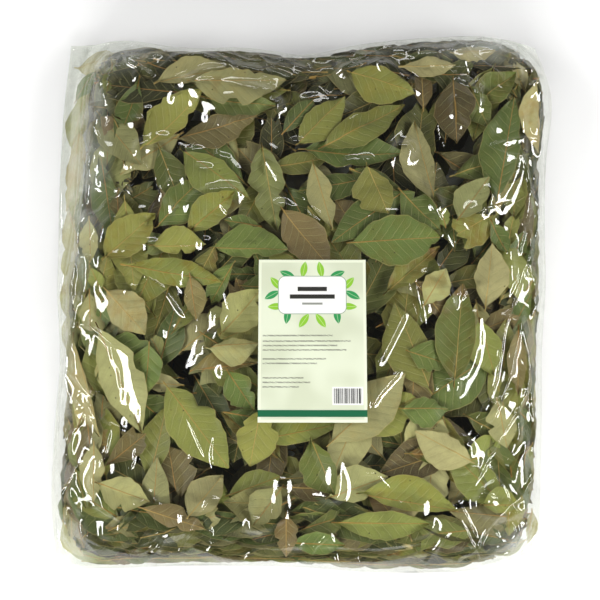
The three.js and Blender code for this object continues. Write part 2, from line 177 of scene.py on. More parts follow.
# Folds in the film's face, in millimetres: half width, then X and Y of each point along the fold
FOLDS = (
    (3.2, (213, 56), (177, -44), (168, -89), (162, -107), (138, -142)),
    (3.0, (193, -36), (182, -81), (166, -121), (143, -143)),
    (3.2, (203, -67), (195, -103), (169, -142), (146, -182), (123, -208), (132, -220)),
    (4.5, (121, 18), (134, -26)),
    (2.0, (89, 10), (93, -10), (105, -45)),
    (2.0, (98, 11), (101, -9), (107, -44)),
    (6.0, (88, -28), (73, -58), (61, -81)),
    (5.5, (83, -81), (63, -104), (55, -118)),
    (3.4, (121, 189), (124, 152), (127, 127)),
    (4.5, (-147, 6), (-124, -10), (-107, -34)),
    (3.6, (113, 72), (126, 53), (137, 30)),
    (3.2, (-93, 230), (-77, 219), (-62, 200)),
    (2.4, (-204, 159), (-192, 141), (-183, 160)),
    (3.0, (-130, 110), (-125, 90)),
    (2.2, (-196, -226), (-168, -238), (-143, -243)),
    (2.2, (-196, -226), (-182, -241)),
    (3.8, (129, -193), (140, -212), (147, -229)),
    (3.4, (158, -212), (166, -226), (173, -234)),
    (2.6, (156, -160), (172, -187), (187, -224)),
    (2.0, (-9, 91), (-5, 72), (2, 63), (14, 54)),
    (2.0, (-5, 88), (2, 72), (14, 63)),
    (3.0, (-79, 73), (-71, 63), (-64, 57)),
    (2.4, (116, 209), (151, 208), (224, 209)),
    (2.4, (-108, -119), (-100, -133), (-88, -159)),
    (3.2, (-180, -169), (-172, -129), (-150, -139)),
    (2.6, (-199, -197), (-177, -202), (-161, -213), (-165, -226)),
    (2.6, (-111, -230), (-63, -235), (-16, -232)),
    (2.6, (13, -234), (61, -236), (109, -230)),
    (2.4, (-221, 195), (-207, 109), (-209, 27)),
    (2.4, (-225, 141), (-214, 47), (-213, -34)),
)

# Milky places of the film, in millimetres: middle X and Y, half width, half length, share of milk
MILKY = (
    (-218, 120, 44, 160, 0.3),
    (-195, 238, 76, 44, 0.36),
    (-214, -240, 34, 40, 0.32),
    (176, 240, 90, 36, 0.36),
    (226, 20, 20, 240, 0.2),
    (192, -238, 46, 28, 0.36),
    (0, 252, 240, 16, 0.2),
    (-228, -90, 24, 140, 0.28),
    (0, -252, 230, 10, 0.04),
)


def linear(colour):
    """A hex sRGB colour as linear red, green, blue and alpha."""
    code = colour.lstrip("#")
    parts = [int(code[i : i + 2], 16) / 255 for i in (0, 2, 4)]
    return tuple(c / 12.92 if c <= 0.04045 else ((c + 0.055) / 1.055) ** 2.4 for c in parts) + (1.0,)


def colour_prop(name, description, default):
    return bpy.props.FloatVectorProperty(
        name=name, description=description, default=linear(default), size=4, min=0, max=1, subtype="COLOR"
    )


def length_prop(name, description, default_mm):
    return bpy.props.FloatProperty(
        name=name, description=description, default=default_mm * MM, min=0, precision=5, unit="LENGTH"
    )


def count_prop(name, description, default):
    return bpy.props.IntProperty(name=name, description=description, default=default, min=0)


class BayLeafSettings(bpy.types.PropertyGroup):
    """Sizes and colours of the leaves."""

    thickness: length_prop("Blade thickness", "Thickness of a dried blade", 0.4)
    curl: length_prop("Curl", "How far a dry blade's ends and margins stand up", 2.8)
    vein_spacing: length_prop("Side vein spacing", "Distance between side veins along the midrib", 8.5)
    net_size: length_prop("Net size", "Mesh of the fine vein net", 1.7)
    top_count: count_prop("Loose leaves on top", "Leaves laid over the heap under the face leaves", 290)
    wall_count: count_prop("Leaves at the walls", "Leaves stacked against the film", 860)
    under_count: count_prop("Leaves underneath", "Leaves that lie on the bag's back", 330)
    green: colour_prop("Green face", "Upper side of a green leaf", "#545E2E")
    olive: colour_prop("Olive face", "Upper side of an olive leaf", "#74763C")
    khaki: colour_prop("Khaki back", "Pale underside of a leaf", "#8C875E")
    brown: colour_prop("Brown face", "Browned leaf", "#685B3B")
    rib: colour_prop("Midrib", "Straw coloured midrib", "#B89C58")


class BayLabelSettings(bpy.types.PropertyGroup):
    """Sizes and colours of the paper label."""

    thickness: length_prop("Paper thickness", "Thickness of the label", 0.25)
    ground: colour_prop("Ground", "Printed ground of the label", "#C9CFB5")
    panel: colour_prop("Panel", "White panel", "#E9E9E5")
    leaf_dark: colour_prop("Dark leaf print", "Darker printed leaves", "#2E8F50")
    leaf_light: colour_prop("Light leaf print", "Lighter printed leaves", "#86BC35")
    ink: colour_prop("Ink", "Ink of the rules and bars", "#2E2E2A")
    band: colour_prop("Foot band", "Band near the label's foot", "#1B6040")


class BayFilmSettings(bpy.types.PropertyGroup):
    """Sizes of the film."""

    clearance: length_prop("Clearance", "Gap between the leaves and the film", 0.5)
    steepness: bpy.props.FloatProperty(
        name="Fold steepness",
        description="Height of a fold as a share of its half width",
        default=0.55,
        min=0,
    )
    fold_count: count_prop("Small folds", "Short folds scattered over the face", 54)
    haze: bpy.props.FloatProperty(
        name="Haze",
        description="Share of milk in the clear film",
        default=0.003,
        min=0,
        max=1,
        subtype="FACTOR",
    )


class BayStageSettings(bpy.types.PropertyGroup):
    """Floor, lights and camera."""

    floor: colour_prop("Floor", "Pale studio floor", "#F8F8F7")
    lens: bpy.props.FloatProperty(name="Lens", description="Camera lens", default=74, min=1, unit="CAMERA")
    distance: length_prop("Distance", "Camera to the middle of the bag", 1140)
    elevation: bpy.props.FloatProperty(
        name="Elevation", description="Camera height angle", default=math.radians(77), subtype="ANGLE"
    )


def along(values, t):
    """Smooth value at share t, from -1 to 1, along a row of evenly spaced values."""
    last = len(values) - 1
    place = np.clip((np.asarray(t, float) + 1) / 2, 0, 1) * last
    start = np.minimum(np.floor(place).astype(int), last - 1)
    a, b, c, d = (values[np.clip(start + step, 0, last)] for step in (-1, 0, 1, 2))
    s = place - start
    return b + 0.5 * s * (c - a + s * (2 * a - 5 * b + 4 * c - d + s * (3 * (b - c) + d - a)))


def mix(low, high, share):
    return low + (high - low) * share


def smooth(value, low, high):
    share = np.clip((value - low) / (high - low), 0, 1)
    return share * share * (3 - 2 * share)


def film_place(u, v):
    """Place on the table of the film at share u across and v along."""
    x = mix(along(LEFT_SIDE, v), along(RIGHT_SIDE, v), (u + 1) / 2)
    y = mix(along(CLOSED_END, u), along(MOUTH_END, u), (v + 1) / 2)
    return x, y


def filled_sides(v):
    return along(LEFT_SIDE, v) + along(LEFT_SLACK, v), along(RIGHT_SIDE, v) - SIDE_SLACK


def filled_ends(u):
    return along(CLOSED_END, u) + END_SLACK, along(MOUTH_END, u) - END_SLACK


def filled_place(u, v):
    """Place on the table at share u across and v along the filled part of the bag."""
    return mix(*filled_sides(v), (u + 1) / 2), mix(*filled_ends(u), (v + 1) / 2)


def wall_place(lap, reach):
    """Shares across and along of a place on the walls, for a lap of 0 to 4 from the right side round."""
    t = reach * (2 * (lap % 1) - 1)
    return ((1, t), (-t, 1), (-1, -t), (t, -1))[int(lap)]


def fullness(x, y):
    """How far a place is inside the filled part: 1 in the middle, 0 at its wall, less outside it."""
    left, right = filled_sides(y / HALF_LENGTH)
    low, high = filled_ends(x / HALF_WIDTH)
    u = (2 * x - left - right) / (right - left)
    v = (2 * y - low - high) / (high - low)
    return 1 - np.abs(u) ** SQUARENESS - np.abs(v) ** SQUARENESS


def rise(full):
    return np.sqrt(np.maximum(0, full))


def crown(x, y):
    return CROWN * (1 - (x / HALF_WIDTH) ** 2) * (1 - (y / HALF_LENGTH) ** 2)


def seam(x, y):
    return SEAM_HEIGHT * (1 - SEAM_DROOP * smooth(-fullness(x, y), 0, SEAM_DROOP_RANGE))


def top_skin(x, y):
    return seam(x, y) + (FILM_TOP - SEAM_HEIGHT + crown(x, y)) * rise(fullness(x, y))


def under_skin(x, y):
    return np.maximum(0, seam(x, y) - UNDERSIDE_REACH * SEAM_HEIGHT * rise(fullness(x, y)))


def inside_bag(x, y, z, margin):
    """True where a point is inside the film by a margin of fullness."""
    above = (z - SEAM_HEIGHT) / (FILM_TOP - SEAM_HEIGHT)
    below = (SEAM_HEIGHT - z) / (UNDERSIDE_REACH * SEAM_HEIGHT)
    wall = np.minimum(1, np.maximum(above, below))
    return fullness(x, y) > wall**2 + margin


class HeightField:
    """Upper envelope of what has been laid so far, on a square grid over the bag."""

    STEP = 1.5
    RIM = 6
    NEAR = (-2, -1, 0, 1, 2)

    def __init__(self):
        self.low = np.array([-HALF_WIDTH - self.RIM, -HALF_LENGTH - self.RIM], float)
        self.nx = int(2 * (HALF_WIDTH + self.RIM) / self.STEP) + 1
        self.ny = int(2 * (HALF_LENGTH + self.RIM) / self.STEP) + 1
        x = self.low[0] + self.STEP * np.arange(self.nx)
        y = self.low[1] + self.STEP * np.arange(self.ny)
        self.x, self.y = np.meshgrid(x, y, indexing="ij")
        self.z = np.zeros((self.nx, self.ny))

    def cells(self, x, y):
        i = np.clip(np.rint((x - self.low[0]) / self.STEP).astype(int), 0, self.nx - 1)
        j = np.clip(np.rint((y - self.low[1]) / self.STEP).astype(int), 0, self.ny - 1)
        return i, j

    def at(self, x, y):
        """Highest place near each point, so that nothing shows through between the points laid on it."""
        i, j = self.cells(x, y)
        rows = [np.clip(i + step, 0, self.nx - 1) for step in self.NEAR]
        cols = [np.clip(j + step, 0, self.ny - 1) for step in self.NEAR]
        return np.max([self.z[row, col] for row in rows for col in cols], axis=0)

    def raise_to(self, x, y, z):
        np.maximum.at(self.z, self.cells(x, y), z)


def denser(grid, times):
    """A grid of values with more steps between its rows and columns."""
    for axis in (0, 1):
        count = grid.shape[axis]
        fine = np.linspace(0, count - 1, (count - 1) * times + 1)
        start = np.minimum(fine.astype(int), count - 2)
        share = fine - start
        share = share[:, None] if axis == 0 else share[None, :]
        grid = mix(np.take(grid, start, axis), np.take(grid, start + 1, axis), share)
    return grid


def evened(grid):
    """Every value replaced by the mean of its four neighbours."""
    ends = np.pad(grid, 1, mode="edge")
    return (ends[:-2, 1:-1] + ends[2:, 1:-1] + ends[1:-1, :-2] + ends[1:-1, 2:]) / 4


class Blade:
    """One leaf before it is laid: its plan, its curl and what its material reads."""

    STALK = 0.07
    LEAST_HALF_WIDTH = 0.6

    def __init__(self, rng, length, width, tone, shade, stations, across, curl, whole=False):
        self.t = stations[:, None] * np.ones_like(across)[None, :]
        self.s = np.ones_like(stations)[:, None] * across[None, :]
        self.length = length
        self.width = width
        self.tone = tone
        self.shade = shade
        self.seed = rng.uniform(0, 1)
        self.pale = float(tone == "khaki") if rng.random() < 0.85 else rng.uniform(0, 1)
        self.browning = max(0.0, rng.normal(0.2, 0.3))
        self.along, self.across = self.outline(rng, whole)
        self.lift = self.curled(rng, curl)

    def outline(self, rng, whole):
        """A lanceolate blade on a short stalk, with a waved margin, bites and sometimes a broken tip."""
        s, t = self.s, self.t
        broken = rng.random() < 0.32 and not whole
        stop = rng.uniform(0.55, 0.9) if broken else 1.0
        blade = np.clip((t * stop - self.STALK) / (1 - self.STALK), 0, 1)
        lens = np.sin(math.pi * blade ** rng.uniform(0.82, 1.05)) ** rng.uniform(0.82, 1.12)
        half = np.maximum(self.LEAST_HALF_WIDTH, self.width / 2 * lens)
        side = np.sign(s)
        waves = rng.uniform(3, 6)
        margin = 0.04 * np.sin(2 * math.pi * waves * t + rng.uniform(0, 6) + 2 * side)
        margin += 0.025 * np.sin(2 * math.pi * 2.7 * waves * t + rng.uniform(0, 6) + side)
        for _ in range(rng.poisson(1.2)):
            place = rng.uniform(0.25, 0.95)
            reach = rng.uniform(0.015, 0.08)
            depth = rng.uniform(0.1, 0.5)
            bitten = side == rng.choice((-1, 1))
            margin -= np.where(bitten, depth * np.exp(-(((t - place) / reach) ** 2)), 0)
        jag = 0.06 * np.sin(s * rng.uniform(3, 9) + rng.uniform(0, 6)) * broken
        shown = t * stop + jag * smooth(t, 0.75, 1)
        bow = rng.normal(0, 0.05) * self.length * np.sin(math.pi * t)
        return (shown - 0.5) * self.length, s * half * (1 + margin) + bow

    def curled(self, rng, curl):
        """Height of the dry curl: folded along the midrib, bowed, twisted and waved at the margins."""
        s, t = self.s, self.t
        fold = rng.uniform(-0.09, 0.2) * self.width * np.abs(s) ** 1.3
        bow = rng.normal(0.2, 0.8) * curl * (2 * t - 1) ** 2
        twist = rng.normal(0, 0.5) * curl * s * (t - 0.5)
        waves = 2 * math.pi * rng.uniform(1.5, 3.5) * t + rng.uniform(0, 6) + 1.3 * np.sign(s)
        return fold + bow + twist + 0.4 * curl * s**2 * np.sin(waves)

    def turned(self, x, y, heading):
        """Place on the table of every point with the blade's middle at x, y."""
        c, s = math.cos(heading), math.sin(heading)
        return x + c * self.along - s * self.across, y + s * self.along + c * self.across


# How a blade rests: the span in millimetres over which its bend is measured, its stiffness, the least gap to
# what is under it, the share by which it is evened, and the steps between its points in the envelope
BLADE_SPAN = 40
BLADE_STIFFNESS = 0.02
BLADE_GAP = 1.2
BLADE_EVENING = 0.6
LAY_STEPS = 5


def rest_on(field, blade, x, y, heading, press):
    """Lays a blade on what is under it: a stiff sheet fitted to the ground, pressed on to its high points."""
    px, py = blade.turned(x, y, heading)
    ground = field.at(px, py)
    dx = (px - x).ravel() / BLADE_SPAN
    dy = (py - y).ravel() / BLADE_SPAN
    terms = np.stack([np.ones_like(dx), dx, dy, dx * dx, dx * dy, dy * dy], 1)
    damping = np.diag([0, 0, 0, 1, 1, 1]) * BLADE_STIFFNESS * len(dx)
    wanted = (ground - blade.lift).ravel()
    fit = np.linalg.solve(terms.T @ terms + damping + 1e-6 * np.eye(6), terms.T @ wanted)
    z = (terms @ fit).reshape(px.shape) + blade.lift
    z += np.quantile(ground - z, press)
    z = np.maximum(z, ground + BLADE_GAP)
    z = np.maximum(mix(z, evened(z), BLADE_EVENING), ground + BLADE_GAP)
    return px, py, z


def lay(field, placed, thickness):
    """Adds a laid blade to the envelope."""
    px, py, z = (denser(grid, LAY_STEPS) for grid in placed)
    field.raise_to(px.ravel(), py.ravel(), z.ravel() + thickness)


def sheet_faces(rows, cols):
    """Faces of a closed sheet of two like grids, the upper one first."""
    base = rows * cols
    at = np.arange(base).reshape(rows, cols)
    quads = np.stack([at[:-1, :-1], at[1:, :-1], at[1:, 1:], at[:-1, 1:]], 2).reshape(-1, 4)
    rim = np.concatenate([at[:, 0], at[-1, 1:], at[-2::-1, -1], at[0, -2:0:-1]])
    after = np.roll(rim, -1)
    wall = np.stack([after, rim, rim + base, after + base], 1)
    return np.concatenate([quads, quads[:, [0, 3, 2, 1]] + base, wall])


# Midrib on a blade's back, in millimetres: its height, its half width, and the share by which it tapers;
# and the distance between the patterns of unlike leaves
RIB_HEIGHT = 0.5
RIB_HALF_WIDTH = 0.9
RIB_TAPER = 0.75
PATTERN_SHIFT = 300


def leaf_solid(blade, placed, thickness):
    """Points, faces and attributes of one thin closed leaf in millimetres."""
    px, py, z = placed
    rib = RIB_HEIGHT * np.exp(-((blade.across / RIB_HALF_WIDTH) ** 2)) * (1 - RIB_TAPER * blade.t)
    top = np.stack([px, py, z + thickness], 2).reshape(-1, 3)
    under = np.stack([px, py, z - rib], 2).reshape(-1, 3)
    share = np.stack([blade.s, blade.t, np.full_like(blade.s, blade.seed)], 2).reshape(-1, 3)
    pattern = np.full_like(blade.s, PATTERN_SHIFT * blade.seed)
    flat = np.stack([blade.across, blade.along, pattern], 2).reshape(-1, 3)
    kind = np.tile([blade.pale, blade.shade, blade.browning], (len(top), 1))
    back = kind * [0, 1, 1] + [1 - 0.8 * blade.pale, 0, 0]
    attributes = {
        "leaf_share": np.concatenate([share, share]),
        "leaf_mm": np.concatenate([flat, flat]),
        "leaf_kind": np.concatenate([kind, back]),
    }
    return np.concatenate([top, under]), sheet_faces(*px.shape), attributes


def mesh_object(name, points, faces, attributes, smooth_angle=None):
    """A mesh object in metres from points in millimetres."""
    mesh = bpy.data.meshes.new(name)
    mesh.from_pydata((np.asarray(points) * MM).tolist(), [], [list(map(int, face)) for face in faces])
    for key, values in attributes.items():
        layer = mesh.attributes.new(key, "FLOAT_VECTOR", "POINT")
        layer.data.foreach_set("vector", np.asarray(values, np.float32).ravel())
    mesh.shade_smooth()
    if smooth_angle:
        mesh.set_sharp_from_angle(angle=smooth_angle)
    mesh.update()
    piece = bpy.data.objects.new(name, mesh)
    bpy.context.scene.collection.objects.link(piece)
    return piece


def joined(solids):
    """Several leaf solids as one list of points, faces and attributes."""
    points, faces, attributes, base = [], [], {}, 0
    for solid_points, solid_faces, solid_attributes in solids:
        points.append(solid_points)
        faces.append(solid_faces + base)
        base += len(solid_points)
        for key, values in solid_attributes.items():
            attributes.setdefault(key, []).append(values)
    together = {key: np.concatenate(values) for key, values in attributes.items()}
    return np.concatenate(points), np.concatenate(faces), together


def finish_piece(piece, material, slot, *nodes):
    piece.data.materials.append(material)
    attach(piece, "root")
    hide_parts(*nodes)


def add(tree, kind, *inputs, out=0, **settings):
    """Adds a shader node with its settings and links.

    Its open inputs are filled in order or by name. It gives one output or, where out is None, the node.
    """
    node = tree.nodes.new("ShaderNode" + kind)
    named = {}
    for key, value in settings.items():
        if key in node.bl_rna.properties:
            setattr(node, key, value)
        else:
            named[key.replace("_", " ")] = value
    open_inputs = [socket for socket in node.inputs if socket.enabled]
    filled = list(zip(open_inputs, inputs))
    filled += [(node.inputs[name], value) for name, value in named.items()]
    for socket, value in filled:
        if isinstance(value, bpy.types.NodeSocket):
            tree.links.new(value, socket)
        else:
            socket.default_value = value
    if isinstance(out, str):
        return node.outputs[out]
    shown = [socket for socket in node.outputs if socket.enabled]
    return node if out is None or not shown else shown[out]


RGBA = {"data_type": "RGBA"}
TIMES = {"operation": "MULTIPLY"}
TIMES_PLUS = {"operation": "MULTIPLY_ADD"}
SOFT = {"interpolation_type": "SMOOTHSTEP"}
CELL_EDGES = {"feature": "DISTANCE_TO_EDGE", "voronoi_dimensions": "2D"}
ON_A_LINE = {"noise_dimensions": "1D"}


def new_material(name):
    """An empty material, and the function that adds nodes to it."""
    material = bpy.data.materials.new(name)
    material.use_nodes = True
    material.node_tree.nodes.clear()
    return material, partial(add, material.node_tree)


def dried_bay_leaf(name, face, settings):
    """Air dried bay leaf: leathery, satin on its face and matt on its back."""
    # A thin straw midrib, faint arched side veins with a quilted surface between them, a fine pale net,
    # brown blotches, dark specks and a thin light margin. The net is drawn coarser than the real one to show.
    material, put = new_material(name)
    share = put("Attribute", attribute_name="leaf_share", out="Vector")
    flat = put("Attribute", attribute_name="leaf_mm", out="Vector")
    kind = put("Attribute", attribute_name="leaf_kind", out="Vector")
    side, length_share, seed = put("SeparateXYZ", share, out=None).outputs
    across, lengthwise, _ = put("SeparateXYZ", flat, out=None).outputs
    pale, shade, browning = put("SeparateXYZ", kind, out=None).outputs
    outward = put("Math", across, operation="ABSOLUTE")
    edgeward = put("Math", side, operation="ABSOLUTE")

    wander = put("TexNoise", Vector=flat, Scale=1 / 9, Detail=2.0)
    arch = put("Math", outward, 0.9, operation="POWER")
    step = put("Math", arch, -1.1, lengthwise, **TIMES_PLUS)
    step = put("Math", wander, 4.0, step, **TIMES_PLUS)
    step = put("Math", put("Math", across, operation="SIGN"), 1.7, step, **TIMES_PLUS)
    row = put("Math", step, MM / settings.vein_spacing, **TIMES)
    near = put("Math", row, 0.5, operation="PINGPONG")
    fade = put("MapRange", edgeward, 1.0, 0.6, **SOFT)
    veins = put("Math", put("MapRange", near, 0.055, 0.01, **SOFT), fade, **TIMES)
    quilt = put("MapRange", near, 0.0, 0.4, **SOFT)
    net = put("TexVoronoi", Vector=flat, Scale=MM / settings.net_size, **CELL_EDGES)
    net = put("MapRange", net, 0.13, 0.02, **SOFT)
    rib_width = put("Math", length_share, -0.34, 0.6, **TIMES_PLUS)
    rib = put("MapRange", put("Math", outward, rib_width, operation="DIVIDE"), 1.2, 0.5, **SOFT)

    blotch = put("TexNoise", Vector=flat, Scale=1 / 17, Detail=5.0, Roughness=0.62)
    cloud = put("TexNoise", Vector=flat, Scale=1 / 34, Detail=2.0)
    grain = put("TexNoise", Vector=flat, Scale=1 / 2.2, Detail=3.0)
    speck = put("TexVoronoi", Vector=flat, Scale=1 / 6.5, Randomness=1.0)
    speck = put("MapRange", speck, 0.13, 0.06, **SOFT)
    speck = put("Math", speck, put("MapRange", blotch, 0.5, 0.6, **SOFT), **TIMES)

    colour = put("Mix", put("Math", pale, 0.8, **TIMES), face, linear("#928D63"), **RGBA)
    warm = put("Mix", 1.0, colour, linear("#D8B070"), blend_type="MULTIPLY", **RGBA)
    tanned = put("Math", put("MapRange", blotch, 0.4, 0.66, **SOFT), browning, **TIMES)
    colour = put("Mix", tanned, colour, warm, **RGBA)
    scorched = put("Math", put("MapRange", cloud, 0.6, 0.68, **SOFT), browning, **TIMES)
    colour = put("Mix", scorched, colour, linear("#5B4426"), **RGBA)
    value = put("Math", shade, 0.12, 0.57, **TIMES_PLUS)
    value = put("Math", blotch, 0.75, value, **TIMES_PLUS)
    value = put("Math", cloud, 0.34, value, **TIMES_PLUS)
    # Painted shade of the quilting: lighter between the side veins and darker along them, besides the bump
    value = put("Math", quilt, 0.09, value, **TIMES_PLUS)
    value = put("Math", edgeward, -0.08, value, **TIMES_PLUS)
    value = put("Math", grain, 0.3, value, **TIMES_PLUS)
    value = put("Math", value, 0.1, operation="MAXIMUM")
    hue = put("Math", seed, 0.03, 0.489, **TIMES_PLUS)
    colour = put("HueSaturation", Hue=hue, Saturation=1.03, Value=value, Color=colour)
    lighter = put("Mix", 0.5, colour, linear("#C2BC84"), **RGBA)
    colour = put("Mix", put("Math", net, 0.2, **TIMES), colour, lighter, **RGBA)
    colour = put("Mix", put("Math", veins, 0.62, **TIMES), colour, lighter, **RGBA)
    rib_tint = put("Mix", seed, settings.rib[:], linear("#A9763A"), **RGBA)
    colour = put("Mix", put("Math", rib, 0.72, **TIMES), colour, rib_tint, **RGBA)
    colour = put("Mix", speck, colour, linear("#241C12"), **RGBA)
    margin = put("MapRange", edgeward, 0.95, 1.0, **SOFT)
    colour = put("Mix", put("Math", margin, 0.4, **TIMES), colour, linear("#B9A56C"), **RGBA)

    raised = put("Math", quilt, 0.5, put("Math", net, -0.2, **TIMES), **TIMES_PLUS)
    raised = put("Math", rib, 0.6, raised, **TIMES_PLUS)
    raised = put("Math", grain, 0.5, raised, **TIMES_PLUS)
    bump = put("Bump", Strength=0.8, Distance=0.5 * MM, Height=raised)
    rough = put("Math", pale, 0.2, put("Math", grain, 0.22, 0.34, **TIMES_PLUS), **TIMES_PLUS)
    shader = put("BsdfPrincipled", Base_Color=colour, Roughness=rough, Normal=bump, IOR=1.45)
    put("OutputMaterial", shader)
    return material


# Light that the two faces of the film mirror together, seen square on, and what a slant adds
FILM_GLOSS = 0.095
SLANT_GLOSS = 0.5


def clear_polypropylene_film():
    """Clear cast polypropylene film, heat sealed."""
    # Sight passes straight through, both faces mirror the lights at the folds, more so at a slant,
    # and the film is milky where it is slack and crumpled.
    material, put = new_material("Clear cast polypropylene film")
    slant = put("Math", put("LayerWeight", 0.5, out="Facing"), 5.0, operation="POWER")
    gloss = put("Math", slant, SLANT_GLOSS, FILM_GLOSS, **TIMES_PLUS)
    milk = put("SeparateXYZ", put("Attribute", attribute_name="film_milk", out="Vector"))
    clear = put("BsdfTransparent", linear("#FDFEFB"))
    milky = put("BsdfPrincipled", Base_Color=linear("#E6EBE0"), Roughness=0.55, IOR=1.49)
    mirror = put("BsdfPrincipled", Base_Color=linear("#FFFFFF"), Metallic=1.0, Roughness=0.05)
    put("OutputMaterial", put("MixShader", gloss, put("MixShader", milk, clear, milky), mirror))
    return material


# Greeked lines of the label's print, in millimetres from its middle: Y, left end, right end
LABEL_LINES = (
    (4, -44, 18),
    (-1, -44, 34),
    (-5, -44, 22),
    (-9, -44, 30),
    (-17, -44, 12),
    (-21, -44, 4),
    (-34, -44, -8),
    (-38, -44, -2),
    (-42, -44, -12),
)
SPRIG_LEAVES = 7


def printed_label_paper(settings):
    """Coated label paper, offset printed in flat colours."""
    # A satin sheet with a pale green ground, a white panel with plain bars, plain sprigs, grey lines, a block
    # of bars and a band at its foot.
    material, put = new_material("Coated label paper, offset printed")
    place = put("Attribute", attribute_name="label_mm", out="Vector")
    x, y, _ = put("SeparateXYZ", place, out=None).outputs

    def box(cx, cy, half_x, half_y, corner=0.0, soft=0.15):
        """Share of ink inside a box with rounded corners."""
        reach = []
        for axis, middle, half in ((x, cx, half_x), (y, cy, half_y)):
            off = put("Math", put("Math", axis, middle, operation="SUBTRACT"), operation="ABSOLUTE")
            over = put("Math", off, half - corner, operation="SUBTRACT")
            reach.append(put("Math", over, 0.0, operation="MAXIMUM"))
        square = put("Math", reach[1], reach[1], **TIMES)
        far = put("Math", put("Math", reach[0], reach[0], square, **TIMES_PLUS), operation="SQRT")
        return put("MapRange", far, corner + soft, corner - soft if corner else 0.0, **SOFT)

    fibre = put("TexNoise", Vector=place, Scale=1 / 0.8, Detail=3.0)
    tint = put("TexNoise", Vector=place, Scale=1 / 40, Detail=1.0)
    ground = settings.ground[:]
    paler = put("Mix", put("MapRange", tint, 0.35, 0.65, **SOFT), ground, linear("#D8DEC6"), **RGBA)
    colour = put("Mix", box(0, 0, 45.4, 70.9), linear("#DEE3CC"), paler, **RGBA)
    mirrored = put("Math", x, operation="ABSOLUTE")
    for number in range(SPRIG_LEAVES):
        turn = math.radians(168 - 26 * number)
        cx, cy = 36 * math.sin(turn), 41 + 24 * math.cos(turn)
        lean = turn + (0.5 if number % 2 else -0.4)
        c, s = math.cos(lean), math.sin(lean)
        px = put("Math", mirrored, abs(cx), operation="SUBTRACT")
        py = put("Math", y, cy, operation="SUBTRACT")
        run = put("Math", px, s, put("Math", py, c, **TIMES), **TIMES_PLUS)
        out = put("Math", px, c, put("Math", py, -s, **TIMES), **TIMES_PLUS)
        off = put("Math", out, operation="ABSOLUTE")
        bell = put("Math", put("Math", run, run, **TIMES), 1 / 60, **TIMES)
        body = put("MapRange", put("Math", off, 1 / 3.1, bell, **TIMES_PLUS), 1.03, 0.97, **SOFT)
        vein = put("Math", put("MapRange", off, 0.3, 0.12, **SOFT), 0.5, **TIMES)
        tone = settings.leaf_dark[:] if number % 2 else settings.leaf_light[:]
        colour = put("Mix", body, colour, put("Mix", vein, tone, linear("#DDEBC0"), **RGBA), **RGBA)
    ink = settings.ink[:]
    panel = settings.panel[:]
    flat_inks = (
        (box(0, 41, 30.6, 17.6, 6.6), linear("#7F9480")),
        (box(0, 41, 30, 17, 6), panel),
        (box(0, 46.5, 13, 1.9), ink),
        (box(0, 39.5, 20, 1.9), ink),
        (box(0, 33, 9, 0.9), linear("#8C8F86")),
        (box(31, -50, 13.5, 8), panel),
    )
    for inside, tone in flat_inks:
        colour = put("Mix", inside, colour, tone, **RGBA)
    line_run = put("Math", y, 3.0, x, **TIMES_PLUS)
    chop = put("TexNoise", W=line_run, Scale=0.55, Detail=2.0, **ON_A_LINE)
    words = put("MapRange", chop, 0.38, 0.44, **SOFT)
    for row_y, left, right in LABEL_LINES:
        line = put("Math", box((left + right) / 2, row_y, (right - left) / 2, 0.6), words, **TIMES)
        colour = put("Mix", put("Math", line, 0.62, **TIMES), colour, ink, **RGBA)
    bars = put("TexNoise", W=x, Scale=1.3, Detail=1.0, **ON_A_LINE)
    bars = put("Math", put("MapRange", bars, 0.47, 0.5, **SOFT), box(31, -50, 12.2, 6.6), **TIMES)
    colour = put("Mix", bars, colour, ink, **RGBA)
    colour = put("Mix", box(0, -65.5, 49, 3.0), colour, settings.band[:], **RGBA)

    bump = put("Bump", Strength=0.12, Distance=0.1 * MM, Height=fibre)
    rough = put("Math", fibre, 0.16, 0.34, **TIMES_PLUS)
    put("OutputMaterial", put("BsdfPrincipled", Base_Color=colour, Roughness=rough, Normal=bump, IOR=1.5))
    return material


def studio_floor(settings):
    """Matt painted board, rolled."""
    # An even pale surface with faint clouds, kept pale by a weak glow out of reach of the lights.
    material, put = new_material("Painted studio board, rolled")
    place = put("TexCoord", out="Object")
    cloud = put("TexNoise", Vector=place, Scale=6.0, Detail=2.0)
    colour = put("Mix", put("Math", cloud, 0.3, **TIMES), settings.floor[:], linear("#FAFAFA"), **RGBA)
    far = put("VectorMath", place, operation="LENGTH", out="Value")
    glow = put("MapRange", far, *GLOW_REACH, 0.0, FLOOR_GLOW, **SOFT)
    shine = {"Emission_Color": linear("#FFFFFF"), "Emission_Strength": glow}
    put("OutputMaterial", put("BsdfPrincipled", Base_Color=colour, Roughness=0.85, **shine))
    return material


# Shares along and across a blade at which it has points, finer for the leaves that show most
FACE_STATIONS = np.array(
    [0, 0.035, 0.07, 0.1, 0.14, 0.19, 0.25, 0.31, 0.37, 0.43]
    + [0.5, 0.56, 0.62, 0.68, 0.74, 0.8, 0.85, 0.9, 0.94, 0.97, 1]
)
FACE_ACROSS = np.array([-1, -0.86, -0.6, -0.32, -0.08, 0, 0.08, 0.32, 0.6, 0.86, 1])
LOOSE_STATIONS = np.array([0, 0.07, 0.13, 0.22, 0.34, 0.46, 0.58, 0.7, 0.82, 0.92, 1])
LOOSE_ACROSS = np.array([-1, -0.6, -0.06, 0.06, 0.6, 1])
WALL_STATIONS = np.array([0, 0.08, 0.2, 0.4, 0.6, 0.8, 1])
WALL_ACROSS = np.array([-1, -0.5, 0, 0.5, 1])

